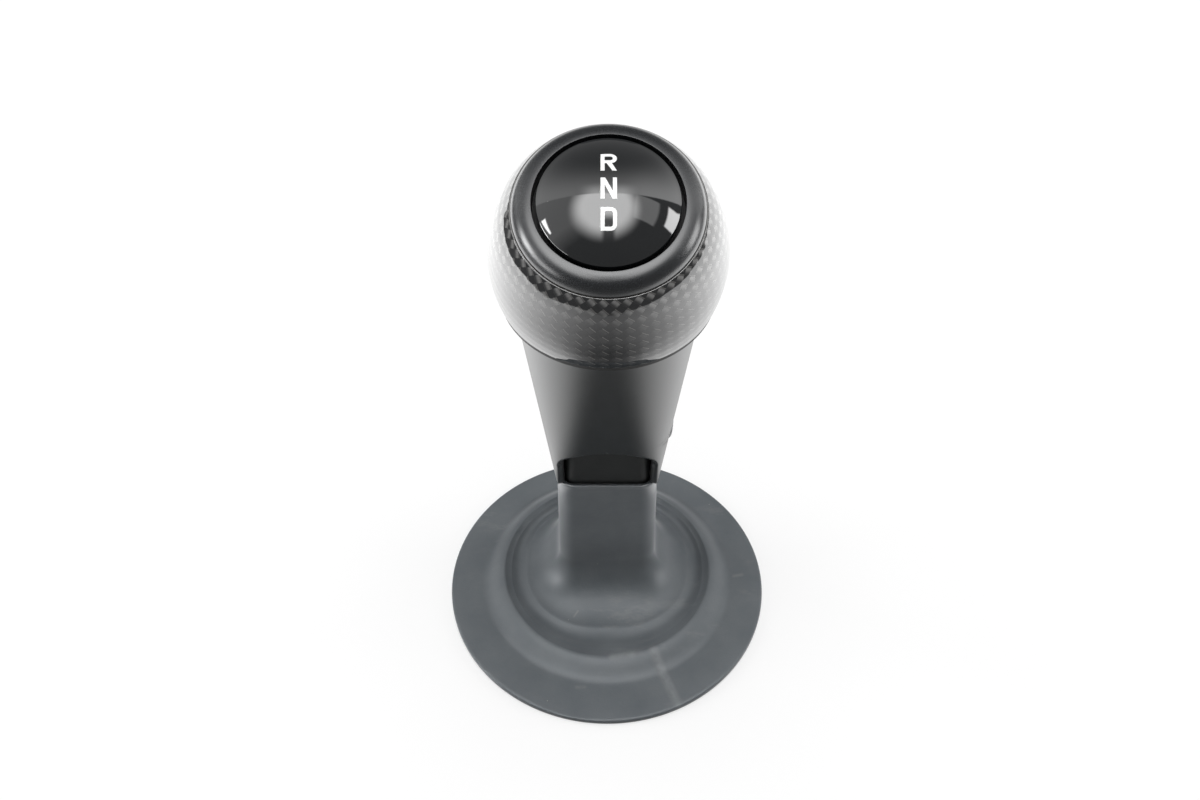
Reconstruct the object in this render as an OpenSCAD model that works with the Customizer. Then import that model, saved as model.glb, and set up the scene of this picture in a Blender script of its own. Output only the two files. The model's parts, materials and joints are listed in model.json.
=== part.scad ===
// Gear shift knob of an automatic gearbox: a carbon ball with a tilted bezel and a domed
// cap, on a tapered neck that stands over a rubber boot with a round disc foot.
// The disc's underside lies on Z = 0 with its centre at the origin. The driver sits at -Y.

/* [Ball] */
// Radius of the ball at its widest
ball_r = 25; // [23:0.5:28]
// Height of the ball's centre above the table
ball_z = 112.7; // [108:0.5:120]
// Radius of the arc that shapes the upper half of the ball
shoulder_r = 30; // [28:0.5:40]
// Radius of the arc that shapes the lower half of the ball
foot_r = 30; // [26:0.5:33]
// Depth of the ball's flat foot below its centre
foot_depth = 10.5; // [9:0.5:12]
// Wall of the carbon shell
shell_t = 1.6; // [1.2:0.1:2]
// Lean of the bezel and the cap towards the driver, in degrees
face_tilt = 15.8; // [8:0.5:20]
// Height of the shell's upper edge above the ball's centre
seat_h = 17; // [15:0.5:18]
// Depth of the hollow in the ball core below the ball's centre
hollow_depth = 3; // [0:0.5:4]

/* [Bezel and cap] */
// Step between the shell's upper edge and the bezel's outer edge
bezel_step = 0.3; // [0.1:0.05:0.6]
// Width of the bezel ring, seen along its axis
bezel_w = 4.1; // [3:0.1:5]
// Rise of the bezel from the shell to its inner rim
bezel_rise = 3.3; // [2.5:0.1:4]
// Height of the upright outer edge of the bezel
bezel_edge = 0.35; // [0.2:0.05:0.6]
// Radius of the bezel's rolled face
bezel_roll = 4.5; // [3.5:0.1:8]
// Depth of the bezel's skirt inside the ball
skirt_depth = 3; // [2:0.25:4]
// Wall of the bezel's skirt
skirt_t = 1.5; // [1:0.1:1.8]
// Width of the groove round the cap
cap_gap = 0.9; // [0.5:0.05:1.4]
// Height of the dome above the cap's edge
dome_rise = 5.5; // [4:0.25:7]
// Wall of the cap's dome
cap_t = 1.8; // [1.4:0.1:2.4]
// Wall of the cap's skirt
cap_side_t = 1.3; // [1:0.1:1.6]
// Width of the core's ledge inside the bezel
ledge_w = 1.8; // [1.2:0.1:2.4]
// Thickness of the plate under the cap
plate_t = 2.4; // [1.8:0.1:2.8]
// Number of snap hooks under the cap
hook_count = 4; // [2:2:6]
// Width of a snap hook
hook_w = 3; // [2:0.25:4]
// Thickness of a snap hook
hook_t = 1; // [0.8:0.1:1.4]
// Reach of a snap hook below the plate
hook_reach = 1.8; // [1.2:0.1:2.5]
// Width of the barb on a snap hook
hook_barb = 0.5; // [0.3:0.05:0.7]

/* [Gear letters] */
// Height of a letter
letter_h = 4.7; // [3.5:0.1:5.5]
// Width of a letter
letter_w = 3.2; // [2.4:0.1:4]
// Width of a letter's strokes
stroke = 0.8; // [0.5:0.05:1]
// Distance between letters along the dome
letter_pitch = 6.4; // [5.6:0.1:7]
// Depth of the inlaid letters
inlay_t = 0.6; // [0.3:0.1:0.9]
// Height of the R's bowl, as a share of the letter's height
bowl_share = 0.58; // [0.5:0.01:0.65]
// Corner radius of the R and the D, as a share of a letter's width
corner_share = 0.4; // [0.3:0.02:0.48]
// Width of a slanted stroke's end, as a share of a stroke
slant_share = 1.15; // [1:0.05:1.4]

/* [Neck] */
// Distance of the lever's axis behind the disc's centre
axis_y = 8.5; // [5:0.5:11]
// Step between the ball's foot and the round top of the neck
foot_step = 2.7; // [1.6:0.1:3.5]
// Half width of the neck at its lower lip
lip_half_w = 11.9; // [11.4:0.1:14]
// Half depth of the neck at its lower lip
lip_half_d = 10.4; // [9.8:0.1:12]
// Corner radius of the neck at its lower lip
lip_corner = 4.5; // [3:0.25:6]
// Wall of the neck cover
neck_t = 1.8; // [1.4:0.1:2.2]
// Thickness of the spacer between ball and neck
spacer_t = 0.8; // [0.4:0.1:1.2]
// Setback of the spacer behind the edge of the ball's foot
spacer_inset = 0.15; // [0.05:0.05:0.5]
// Width of the spacer
spacer_w = 9.2; // [7.6:0.2:10.6]
// Thickness of the cheek beside the arch in front
arch_cheek = 0.5; // [0.4:0.1:1.2]
// Height of the arch above the lip
arch_rise = 18.6; // [12:0.5:20]
// Height of the rounded head of the arch
arch_round = 10.2; // [5:0.2:12]
// Power that makes the head of the arch fuller than an ellipse below one
arch_power = 0.85; // [0.7:0.05:1]
// Depth of the arch's cut behind the lip's front
arch_depth = 4.2; // [3:0.1:4.4]

/* [Neck frame] */
// Height of the block that carries the button, above the lip
block_h = 20.6; // [18:0.2:24]
// Corner radius of the block
block_corner = 2.6; // [1.5:0.1:3.5]
// Radius of the column above the block
column_r = 8.5; // [7.5:0.1:9.5]
// Thickness of the flange under the ball
flange_t = 5; // [4:0.25:7]
// Thickness of a rib beside the column
rib_t = 1.6; // [1.2:0.1:2.4]
// Wall of the spigot inside the boot frame
spigot_t = 0.9; // [0.7:0.05:1.1]
// Clearance between the frame and the neck cover
frame_gap = 0.15; // [0.05:0.05:0.3]

/* [Shank] */
// Radius of the bore for the lever
lever_r = 4; // [3.5:0.1:4.5]
// Depth of the bore for the lever
lever_depth = 24; // [18:0.5:26]
// Wall of the shank round the bore
shank_t = 1.5; // [1.2:0.1:1.7]
// Height of the shank's lower end above the table
shank_low = 14; // [12:0.5:18]
// Length of the shank inside the ball core
shank_in_core = 3; // [2:0.5:5]
// Radius of the chamber for the release rod's head
chamber_r = 3; // [2.7:0.1:3.3]
// Radius of the set screw
set_screw_r = 1.5; // [1:0.1:2]
// Height of the set screw above the shank's lower end
set_screw_rise = 6; // [4:0.5:9]
// Clearance between the set screw's outer end and the boot
set_screw_gap = 0.4; // [0.3:0.05:0.8]
// Radius of the roll pin
roll_pin_r = 1.25; // [1:0.05:1.6]
// Height of the roll pin above the block
roll_pin_rise = 12; // [6:0.5:20]

/* [Release] */
// Height of the button above the lip
button_rise = 12.2; // [11:0.2:13]
// Radius of the button
button_r = 3.25; // [2.9:0.05:3.4]
// How far the button's face stands out of the neck's skin
button_proud = 1; // [0.6:0.1:2]
// Travel of the button and of the rod
travel = 1.8; // [1.2:0.1:1.8]
// Running clearance of the moving pieces
run_gap = 0.05; // [0.03:0.01:0.08]
// Radius of the button's stem
stem_r = 1.6; // [1.3:0.05:1.8]
// Wall of the guide bush
guide_t = 1.2; // [0.9:0.1:1.3]
// Depth of the seat of the guide bush in the block
guide_depth = 3.6; // [3.2:0.1:3.8]
// How far the guide bush stands out of the block
guide_out = 1; // [0.5:0.1:1.1]
// Thickness of the guide bush's floor
guide_floor = 0.8; // [0.6:0.1:1]
// Depth of the spring pocket in the button
pocket_depth = 2.4; // [2:0.1:3]
// Clearance round the button in the neck cover
button_gap = 0.25; // [0.15:0.05:0.5]
// How far the blank plug's face stands out of the neck's skin
plug_proud = 0.4; // [0.2:0.1:1.6]
// Width of the bevel round the button's and the plug's outer ends
end_bevel = 0.4; // [0.2:0.05:0.6]
// Radius of the release rod
rod_r = 1.5; // [1.2:0.1:1.7]
// Distance of the rod's head underside below the button's axis
head_drop = 4; // [3.8:0.1:4.6]
// Distance of the ramp from the rod's axis, at the button's height
ramp_shift = 1.2; // [0.9:0.1:1.3]
// Length of the rod spring
rod_spring_l = 5; // [4.6:0.1:6]
// Wire diameter of both springs
wire_d = 0.5; // [0.4:0.05:0.6]
// Turns of each spring
spring_turns = 3.5; // [2.5:0.5:4]
// Clearance round the button's spring in its pocket
spring_gap = 0.15; // [0.1:0.05:0.25]
// Distance of the rod's lower tip above the top of the lever's bore
tip_gap = 0.3; // [0.1:0.1:0.6]

/* [Screws] */
// Radius of the circle that the ball core's screws stand on
core_screw_ring = 10; // [9.4:0.1:10.4]
// Thickness of the ball core's floor under the screws
screw_floor = 3; // [2:0.5:4]
// Radius of a ball core screw
core_screw_r = 1.25; // [1:0.05:1.5]
// Head radius of a ball core screw
core_head_r = 2.5; // [2.2:0.1:2.8]
// Head height of a ball core screw
core_head_h = 2; // [1.4:0.1:2.4]
// Depth of a ball core screw inside the flange
core_screw_bite = 4; // [3:0.25:4.75]
// Distance of the plate's screws inside the wall of the core's hollow
plate_screw_in = 3.2; // [3:0.05:4]
// Radius of a plate screw
plate_screw_r = 1; // [0.8:0.05:1.2]
// Head radius of a plate screw
plate_head_r = 1.9; // [1.6:0.1:2.2]
// Head height of a plate screw
plate_head_h = 1.2; // [1:0.1:1.4]
// Depth of a plate screw inside its post
plate_screw_bite = 8; // [5:0.5:10]
// Radius of the posts for the plate screws
post_r = 2.8; // [2.5:0.1:3]

/* [Boot] */
// Height of the boot's upper rim
boot_h = 42.8; // [40:0.2:46]
// Setback of the sleeve's sides behind the neck's lip
sleeve_side_step = 0.3; // [0.1:0.05:0.6]
// Setback of the sleeve's front and back behind the neck's lip
sleeve_front_step = 1.4; // [0.8:0.1:1.6]
// Corner radius of the lip over that of the sleeve
sleeve_corner_step = 0.6; // [0.2:0.1:1.2]
// Wall of the boot
boot_t = 1.3; // [1:0.1:1.4]
// Radius of the disc
disc_r = 38.5; // [36:0.5:42]
// Width of the disc outside the ridge
disc_w = 13.2; // [12:0.1:14.5]
// Distance of the ridge's centre behind the disc's centre
ridge_y = 3.5; // [2:0.25:5]
// Height of the ridge
ridge_h = 3.8; // [2.5:0.1:5]
// Height of the dish inside the ridge
dish_h = 2.6; // [1.8:0.1:3.5]
// Depth of the groove inside the ridge, below the dish
groove_dip = 0.5; // [0:0.1:0.8]
// Share of the dish outside the flare that the groove takes
groove_share = 0.7; // [0.5:0.05:0.8]
// Sharpness of the rise from the groove to the ridge
ridge_power = 3.5; // [2.5:0.5:7]
// Share of the disc outside the ridge that slopes down
slope_share = 0.42; // [0.12:0.02:0.5]
// Height of the flare at the sleeve's foot
flare_h = 10.5; // [6:0.5:12]
// Share of the dish that the flare takes
flare_share = 0.6; // [0.3:0.05:0.7]
// Height of the boot frame inside the rim
boot_frame_h = 4.6; // [3.4:0.2:6]

/* [Hidden] */

// Smoothness of round shapes and of small corners
round_fn = 96;
loft_fn = 72;
// Steps round one corner of the neck and of the boot
neck_steps = 17;
boot_steps = 11;
// Sides of a spring's wire, and steps in one of its turns
wire_sides = 8;
turn_steps = 20;
// Smallest overlap between joined shapes
slice_t = 0.01;
// Length of the flats that stay where the neck turns round
flat_w = 0.2;
// Length by which a cut passes the faces that it opens
over = 1;

// Heights along the lever's axis
foot_z = ball_z - foot_depth;
neck_top_z = foot_z - spacer_t;
lip_z = boot_h;
arch_z = lip_z + arch_rise;
block_top_z = lip_z + block_h;
button_z = lip_z + button_rise;
flange_z = neck_top_z - flange_t;
shank_top_z = foot_z + shank_in_core;
head_low_z = button_z - head_drop;
chamber_z = head_low_z - rod_spring_l;
lever_top_z = shank_low + lever_depth;
screw_seat_z = foot_z + screw_floor;

// Heights along the tilted axis, from the ball's centre
rim_h = seat_h + bezel_rise;
plate_h = seat_h - skirt_depth;
plate_top_h = plate_h + plate_t;

// Radius of the ball's outer face at a height above its centre
function ball_at(h) =
    let (arc_r = h > 0 ? shoulder_r : foot_r)
    ball_r - arc_r + sqrt(pow(arc_r, 2) - pow(h, 2));

// Radii of the ball's foot, of the round top of the neck and of the ridge on the disc
ball_foot_r = ball_at(-foot_depth);
neck_top_r = ball_foot_r - foot_step;
ridge_r = disc_r - disc_w;

// Radii round the tilted axis
bezel_r = ball_at(seat_h) - bezel_step;
opening_r = bezel_r - bezel_w;
cap_r = opening_r - cap_gap;
skirt_r = opening_r + skirt_t;
hollow_r = opening_r - ledge_w;
dome_r = (pow(cap_r, 2) + pow(dome_rise, 2)) / (2 * dome_rise);
dome_h = rim_h + dome_rise - dome_r;
plate_screw_ring = hollow_r - plate_screw_in;
hook_r = hollow_r - hook_t - hook_barb - frame_gap;

// Half width, half depth and corner radius of the boot's sleeve
sleeve_half_w = lip_half_w - sleeve_side_step;
sleeve_half_d = lip_half_d - sleeve_front_step;
sleeve_corner = lip_corner - sleeve_corner_step;

// Radii and half widths round the lever's axis
shank_r = lever_r + shank_t;
spigot_r = shank_r + spigot_t;
block_half_w = lip_half_w - neck_t - frame_gap;
block_half_d = sleeve_half_d - boot_t - frame_gap;
head_r = chamber_r - run_gap;

// Back of the arch's cut
arch_back_y = axis_y - lip_half_d + arch_depth;

// The neck's half width, half depth and corner radius change evenly with height
function neck_share(z) = (z - lip_z) / (neck_top_z - lip_z);
function neck_w(z) = lip_half_w + (neck_top_r - lip_half_w) * neck_share(z);
function neck_d(z) = lip_half_d + (neck_top_r - lip_half_d) * neck_share(z);
function neck_c(z) =
    min(lip_corner + (neck_top_r - lip_corner) * neck_share(z),
        neck_w(z) - flat_w, neck_d(z) - flat_w);

// Places along the button's axis, outwards from the lever's axis
neck_side = neck_w(button_z);
neck_lean = atan((neck_top_r - lip_half_w) / (neck_top_z - lip_z));
guide_in = block_half_w - guide_depth;
guide_end = block_half_w + guide_out;
guide_bore_r = button_r + run_gap;
guide_r = guide_bore_r + guide_t;
spring_seat = guide_in + guide_floor;
button_in = spring_seat + travel + wire_d + run_gap;
pocket_end = button_in + pocket_depth;
spring_r = stem_r + run_gap + wire_d;
pocket_r = spring_r + spring_gap;

// Round bar along +X, from one place to another
module bar_x(r, from_x, to_x) {
    translate([from_x, 0, 0]) rotate([0, 90, 0])
        cylinder(r = r, h = to_x - from_x, $fn = round_fn);
}

// Frame of the tilted axis: the ball's centre, with +Z through the dome
module on_face() {
    translate([0, axis_y, ball_z]) rotate([face_tilt, 0, 0]) children();
}

// Frame of the lever's axis at a height
module on_axis(z = 0) {
    translate([0, axis_y, z]) children();
}

// Half outline of the ball, set back by a wall
module ball_outline(inset) {
    intersection() {
        translate([ball_r - shoulder_r, 0]) circle(r = shoulder_r - inset, $fn = round_fn);
        square([ball_r, seat_h]);
    }
    intersection() {
        translate([ball_r - foot_r, 0]) circle(r = foot_r - inset, $fn = round_fn);
        translate([0, -ball_r]) square([ball_r, ball_r]);
    }
}

// Everything below the ball's flat foot
module below_foot() {
    on_axis(foot_z - ball_r * 2)
        translate([-ball_r * 2, -ball_r * 2, 0]) cube([ball_r * 4, ball_r * 4, ball_r * 2]);
}

// Rectangle with round corners about the origin
module round_rect(half_w, half_d, corner) {
    square([half_w * 2, (half_d - corner) * 2], center = true);
    square([(half_w - corner) * 2, half_d * 2], center = true);
    for (x = [-1, 1], y = [-1, 1])
        translate([x * (half_w - corner), y * (half_d - corner)])
            circle(r = corner, $fn = loft_fn);
}

// Points of a level rectangle with round corners, anticlockwise from its +X side
function rect_ring(z, half_w, half_d, corner, mid_y, steps) =
    [for (c = [0:3], i = [0:steps])
        let (
            a = 90 * (c + i / steps),
            x = (c == 0 || c == 3) ? half_w - corner : corner - half_w,
            y = c < 2 ? half_d - corner : corner - half_d
        )
        [x + corner * cos(a), mid_y + y + corner * sin(a), z]];

// Taper of the neck between two heights, set back by a wall
module neck_taper(inset, low_z, high_z) {
    rings = [for (z = [low_z, high_z])
        rect_ring(z, neck_w(z) - inset, neck_d(z) - inset, neck_c(z) - inset, axis_y,
                  neck_steps)];
    n = len(rings[0]);
    walls = [for (i = [0:n - 1]) let (k = (i + 1) % n) [i, n + i, n + k, k]];
    low = [[for (i = [0:n - 1]) i]];
    high = [[for (i = [n - 1:-1:0]) n + i]];
    polyhedron(points = concat(rings[0], rings[1]), faces = concat(low, walls, high));
}

// Coil of round wire about +Z, lying between 0 and its length
module coil(inner_r, length) {
    wire_r = wire_d / 2;
    sides = wire_sides;
    steps = round(spring_turns * turn_steps);
    mid_r = inner_r + wire_r;
    rings = [for (i = [0:steps])
        let (a = 360 * spring_turns * i / steps, z = wire_r + (length - wire_d) * i / steps)
        [for (j = [0:sides - 1])
            let (b = 360 * j / sides, r = mid_r + wire_r * cos(b))
            [r * cos(a), r * sin(a), z + wire_r * sin(b)]]];
    walls = [for (i = [0:steps - 1], j = [0:sides - 1])
        let (k = (j + 1) % sides)
        [i * sides + j, i * sides + k, (i + 1) * sides + k, (i + 1) * sides + j]];
    first = [[for (j = [sides - 1:-1:0]) j]];
    last = [[for (j = [0:sides - 1]) steps * sides + j]];
    polyhedron(points = [for (ring = rings, p = ring) p], faces = concat(first, walls, last));
}

// Upright with two rounded corners on its right, the base form of a letter
module tab(w, h, corner) {
    square([w - corner, h]);
    translate([0, corner]) square([w, h - corner * 2]);
    for (y = [corner, h - corner])
        translate([w - corner, y]) circle(r = corner, $fn = loft_fn);
}

// Tab with its middle open, a stroke wide all round
module loop_tab(w, h, corner) {
    difference() {
        tab(w, h, corner);
        translate([stroke, stroke])
            tab(w - stroke * 2, h - stroke * 2, max(corner - stroke, slice_t));
    }
}

module letter_r() {
    bowl_h = letter_h * bowl_share;
    square([stroke, letter_h]);
    translate([0, letter_h - bowl_h]) loop_tab(letter_w, bowl_h, letter_w * corner_share);
    leg_x = letter_w / 2;
    leg_w = stroke * slant_share;
    polygon([[leg_x - stroke / 2, letter_h - bowl_h + slice_t], [letter_w - leg_w, 0],
             [letter_w, 0], [leg_x - stroke / 2 + leg_w, letter_h - bowl_h + slice_t]]);
}

module letter_n() {
    square([stroke, letter_h]);
    translate([letter_w - stroke, 0]) square([stroke, letter_h]);
    bar_w = stroke * slant_share;
    polygon([[0, letter_h], [bar_w, letter_h], [letter_w, 0], [letter_w - bar_w, 0]]);
}

module letter_d() {
    loop_tab(letter_w, letter_h, letter_w * corner_share);
}

// The three letters as prisms that pass through the dome's face
module letter_prisms() {
    turn = letter_pitch / dome_r * 180 / PI;
    on_face() translate([0, 0, dome_h]) for (i = [-1:1])
        rotate([i * turn, 0, 0])
            translate([-letter_w / 2, -letter_h / 2, dome_r - inlay_t])
                linear_extrude(inlay_t + over) {
                    if (i == -1) letter_r();
                    if (i == 0) letter_n();
                    if (i == 1) letter_d();
                }
}

// Domed cap with a skirt and snap hooks, pocketed for the letters
module top_cap() {
    color([0.03, 0.03, 0.035]) difference() {
        union() {
            on_face() rotate_extrude($fn = round_fn) difference() {
                intersection() {
                    translate([0, dome_h]) circle(r = dome_r, $fn = round_fn);
                    translate([0, plate_top_h]) square([cap_r, dome_r]);
                }
                intersection() {
                    translate([0, dome_h]) circle(r = dome_r - cap_t, $fn = round_fn);
                    square([cap_r - cap_side_t, dome_r * 2]);
                }
            }
            on_face() for (i = [0:hook_count - 1]) rotate(360 * (i + 0.5) / hook_count)
                cap_hook();
        }
        letter_prisms();
    }
}

// Hook that passes through the plate and catches under it
module cap_hook() {
    low_h = plate_h - hook_reach;
    barb_h = hook_reach - run_gap;
    translate([hook_r, -hook_w / 2, low_h])
        cube([hook_t, hook_w, rim_h - low_h]);
    translate([hook_r + hook_t - slice_t, hook_w / 2, low_h]) rotate([90, 0, 0])
        linear_extrude(hook_w) polygon([[0, 0], [hook_barb, barb_h], [0, barb_h]]);
}

// White letters that fill the cap's pockets
module gear_letters() {
    color([0.95, 0.95, 0.95]) intersection() {
        letter_prisms();
        on_face() translate([0, 0, dome_h]) sphere(r = dome_r, $fn = round_fn);
    }
}

// Half section of the bezel: rolled face outside, skirt below
function roll_points() =
    let (
        outer = [bezel_r, seat_h + bezel_edge],
        inner = [opening_r, rim_h],
        chord = inner - outer,
        half = norm(chord) / 2,
        back = sqrt(pow(bezel_roll, 2) - pow(half, 2)),
        centre = (outer + inner) / 2 + [-chord[1], chord[0]] * back / norm(chord),
        from_a = atan2(outer[1] - centre[1], outer[0] - centre[0]),
        to_a = atan2(inner[1] - centre[1], inner[0] - centre[0]),
        steps = 12
    )
    [for (i = [0:steps]) let (a = from_a + (to_a - from_a) * i / steps)
        centre + bezel_roll * [cos(a), sin(a)]];

module bezel_ring() {
    color([0.06, 0.06, 0.065]) on_face() rotate_extrude($fn = round_fn)
        polygon(concat(
            [[opening_r, plate_h], [skirt_r, plate_h], [skirt_r, seat_h], [bezel_r, seat_h]],
            roll_points()));
}

// Plate that the cap snaps into
module cap_plate() {
    color([0.05, 0.05, 0.05]) on_face() difference() {
        translate([0, 0, plate_h])
            cylinder(r = opening_r - run_gap, h = plate_t, $fn = round_fn);
        for (i = [0:hook_count - 1]) rotate(360 * (i + 0.5) / hook_count)
            translate([hook_r - frame_gap, -hook_w / 2 - frame_gap, plate_h - over])
                cube([hook_t + hook_barb + frame_gap * 2, hook_w + frame_gap * 2,
                      plate_t + over * 2]);
        plate_screw_set(run_gap, over);
    }
}

// Both screws of the plate, or their holes when given a gap
module plate_screw_set(gap = 0, rise = 0) {
    for (x = [-1, 1]) translate([x * plate_screw_ring, 0, 0]) {
        translate([0, 0, plate_h - plate_screw_bite])
            cylinder(r = plate_screw_r + gap, h = plate_screw_bite + plate_t, $fn = round_fn);
        translate([0, 0, plate_top_h - plate_head_h])
            cylinder(r = plate_head_r + gap, h = plate_head_h + rise, $fn = round_fn);
    }
}

module plate_screws() {
    color([0.6, 0.6, 0.62]) on_face() plate_screw_set();
}

// Shell of the ball, open under the bezel and at its foot
module carbon_shell() {
    color([0.22, 0.22, 0.23]) difference() {
        on_face() rotate_extrude($fn = round_fn) difference() {
            ball_outline(0);
            ball_outline(shell_t);
        }
        below_foot();
    }
}

// Moulded body that fills the shell and carries the cap, hollow in its middle
module ball_core() {
    color([0.12, 0.12, 0.12]) difference() {
        on_face() rotate_extrude($fn = round_fn) difference() {
            ball_outline(shell_t);
            translate([0, plate_h]) square([skirt_r, seat_h]);
            translate([0, -hollow_depth]) square([hollow_r, seat_h * 2]);
        }
        below_foot();
        on_axis(foot_z - over)
            cylinder(r = shank_r + run_gap, h = shank_in_core + over, $fn = round_fn);
        core_screw_set(run_gap, seat_h);
    }
    color([0.12, 0.12, 0.12]) on_face() difference() {
        for (x = [-1, 1]) translate([x * plate_screw_ring, 0, -hollow_depth])
            cylinder(r = post_r, h = hollow_depth + plate_h, $fn = round_fn);
        plate_screw_set(run_gap);
    }
}

// Both screws that hold the core on the neck frame, or their holes when given a gap
module core_screw_set(gap = 0, rise = 0) {
    low_z = neck_top_z - core_screw_bite;
    for (y = [-1, 1]) on_axis() translate([0, y * core_screw_ring, 0]) {
        translate([0, 0, low_z])
            cylinder(r = core_screw_r + gap, h = screw_seat_z - low_z + slice_t, $fn = round_fn);
        translate([0, 0, screw_seat_z])
            cylinder(r = core_head_r + gap, h = core_head_h + rise, $fn = round_fn);
    }
}

module core_screws() {
    color([0.6, 0.6, 0.62]) core_screw_set();
}

// Thin ring that keeps a shadow gap between ball and neck
module spacer_ring() {
    outer_r = ball_foot_r - spacer_inset;
    color([0.02, 0.02, 0.02]) difference() {
        on_axis(neck_top_z) cylinder(r = outer_r, h = spacer_t, $fn = round_fn);
        on_axis(neck_top_z - over)
            cylinder(r = outer_r - spacer_w, h = spacer_t + over * 2, $fn = round_fn);
        core_screw_set(run_gap);
    }
}

// Outline of the arch in the front of the neck, across X and up Z
module arch_outline() {
    half_w = lip_half_w - arch_cheek;
    steps = 24;
    head = [for (i = [0:steps]) let (a = 180 * i / steps)
        [half_w * sign(cos(a)) * pow(abs(cos(a)), arch_power),
         arch_z - arch_round + arch_round * sin(a)]];
    polygon(concat([[-half_w, lip_z - over], [half_w, lip_z - over]], head));
}

// Tapered tube of the neck, arched in front and holed at both sides
module neck_cover() {
    color([0.09, 0.09, 0.095]) difference() {
        neck_taper(0, lip_z, neck_top_z);
        neck_taper(neck_t, lip_z - over, neck_top_z + over);
        translate([0, arch_back_y, 0]) rotate([90, 0, 0]) linear_extrude(neck_top_r * 2)
            arch_outline();
        on_axis(button_z) bar_x(button_r + button_gap, 0, neck_top_r);
        on_axis(button_z) bar_x(button_r + run_gap, -neck_top_r, 0);
    }
}

// Inner frame: block round the button, column, ribs and flange on one moulding
module neck_frame() {
    flange_r = neck_w(flange_z) - neck_t - frame_gap;
    color([0.07, 0.07, 0.07]) difference() {
        union() {
            on_axis(lip_z) linear_extrude(block_h)
                round_rect(block_half_w, block_half_d, block_corner);
            on_axis(lip_z - boot_frame_h) cylinder(r = spigot_r, h = boot_frame_h + over,
                                                   $fn = round_fn);
            on_axis(block_top_z - over)
                cylinder(r = column_r, h = flange_z - block_top_z + over * 2, $fn = round_fn);
            on_axis(flange_z) cylinder(r = flange_r, h = flange_t, $fn = round_fn);
            on_axis() for (side = [0, 180]) rotate(side) frame_rib();
        }
        on_axis(lip_z - boot_frame_h - over)
            cylinder(r = shank_r + run_gap, h = neck_top_z - lip_z + boot_frame_h + over * 2,
                     $fn = round_fn);
        on_axis(button_z) bar_x(guide_r + run_gap, guide_in, neck_top_r);
        on_axis(button_z) bar_x(guide_r + run_gap, -neck_top_r, -guide_in);
        on_axis(button_z) bar_x(stem_r + run_gap, 0, guide_in + over);
        on_axis(block_top_z + roll_pin_rise) rotate([90, 0, 0]) cylinder(
            r = roll_pin_r + run_gap, h = column_r * 4, center = true, $fn = round_fn);
        core_screw_set(run_gap);
    }
}

// Rib between the column and the inside of the neck cover
module frame_rib() {
    low_w = neck_w(block_top_z) - neck_t - frame_gap;
    high_w = neck_w(flange_z) - neck_t - frame_gap;
    root_r = (shank_r + column_r) / 2;
    translate([0, rib_t / 2, 0]) rotate([90, 0, 0]) linear_extrude(rib_t)
        polygon([[root_r, block_top_z - over], [block_half_w, block_top_z - over],
                 [low_w, block_top_z], [high_w, flange_z + over], [root_r, flange_z + over]]);
}

// Steel shank: bore for the lever below, chamber for the release rod above
module shank() {
    color([0.62, 0.63, 0.65]) difference() {
        on_axis(shank_low) cylinder(r = shank_r, h = shank_top_z - shank_low, $fn = round_fn);
        on_axis(shank_low - over) cylinder(r = lever_r, h = lever_depth + over, $fn = round_fn);
        on_axis(lever_top_z - over)
            cylinder(r = rod_r + run_gap, h = chamber_z - lever_top_z + over * 2,
                     $fn = round_fn);
        on_axis(chamber_z)
            cylinder(r = chamber_r, h = shank_top_z - chamber_z + over, $fn = round_fn);
        on_axis(button_z) bar_x(stem_r + run_gap, 0, shank_r + over);
        on_axis(block_top_z + roll_pin_rise) rotate([90, 0, 0]) cylinder(
            r = roll_pin_r + run_gap, h = shank_r * 4, center = true, $fn = round_fn);
        on_axis(shank_low + set_screw_rise) rotate([-90, 0, 0])
            cylinder(r = set_screw_r + run_gap, h = shank_r + over, $fn = round_fn);
    }
}

// Pin across the column that holds the shank in the frame
module roll_pin() {
    color([0.5, 0.5, 0.52]) on_axis(block_top_z + roll_pin_rise) rotate([90, 0, 0])
        cylinder(r = roll_pin_r, h = column_r * 2, center = true, $fn = round_fn);
}

// Screw at the back of the shank's lower end that grips the lever
module set_screw() {
    socket_r = set_screw_r / 2;
    far = sleeve_half_d - boot_t - set_screw_gap;
    color([0.3, 0.3, 0.32]) on_axis(shank_low + set_screw_rise) rotate([-90, 0, 0])
        difference() {
            translate([0, 0, lever_r + run_gap])
                cylinder(r = set_screw_r, h = far - lever_r - run_gap, $fn = round_fn);
            translate([0, 0, far - set_screw_r]) cylinder(r = socket_r, h = far, $fn = 6);
        }
}

// Region on and above the release ramp, a plane at 45 degrees across the chamber
module above_ramp(gap) {
    reach = neck_top_r * 2;
    slide = gap * sqrt(2);
    translate([0, reach / 2, 0]) rotate([90, 0, 0]) linear_extrude(reach)
        polygon([[ramp_shift + slide - reach, reach], [ramp_shift + slide + reach, -reach],
                 [ramp_shift + slide + reach, reach]]);
}

// Bar along +X from one place out to a bevelled face that leans with the neck's side and
// stands out of it, in the frame of the button's axis
module leaning_bar(from_x, proud) {
    cone = end_bevel * 3;
    intersection() {
        bar_x(button_r, from_x, neck_side + button_r * 2);
        translate([neck_side, 0, 0]) rotate([0, 90 + neck_lean, 0]) {
            translate([0, 0, -neck_top_r])
                cylinder(r = button_r * 2, h = neck_top_r + proud - cone + slice_t,
                         $fn = round_fn);
            translate([0, 0, proud - cone])
                cylinder(r1 = button_r - end_bevel + cone, r2 = button_r - end_bevel, h = cone,
                         $fn = round_fn);
        }
    }
}

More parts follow.
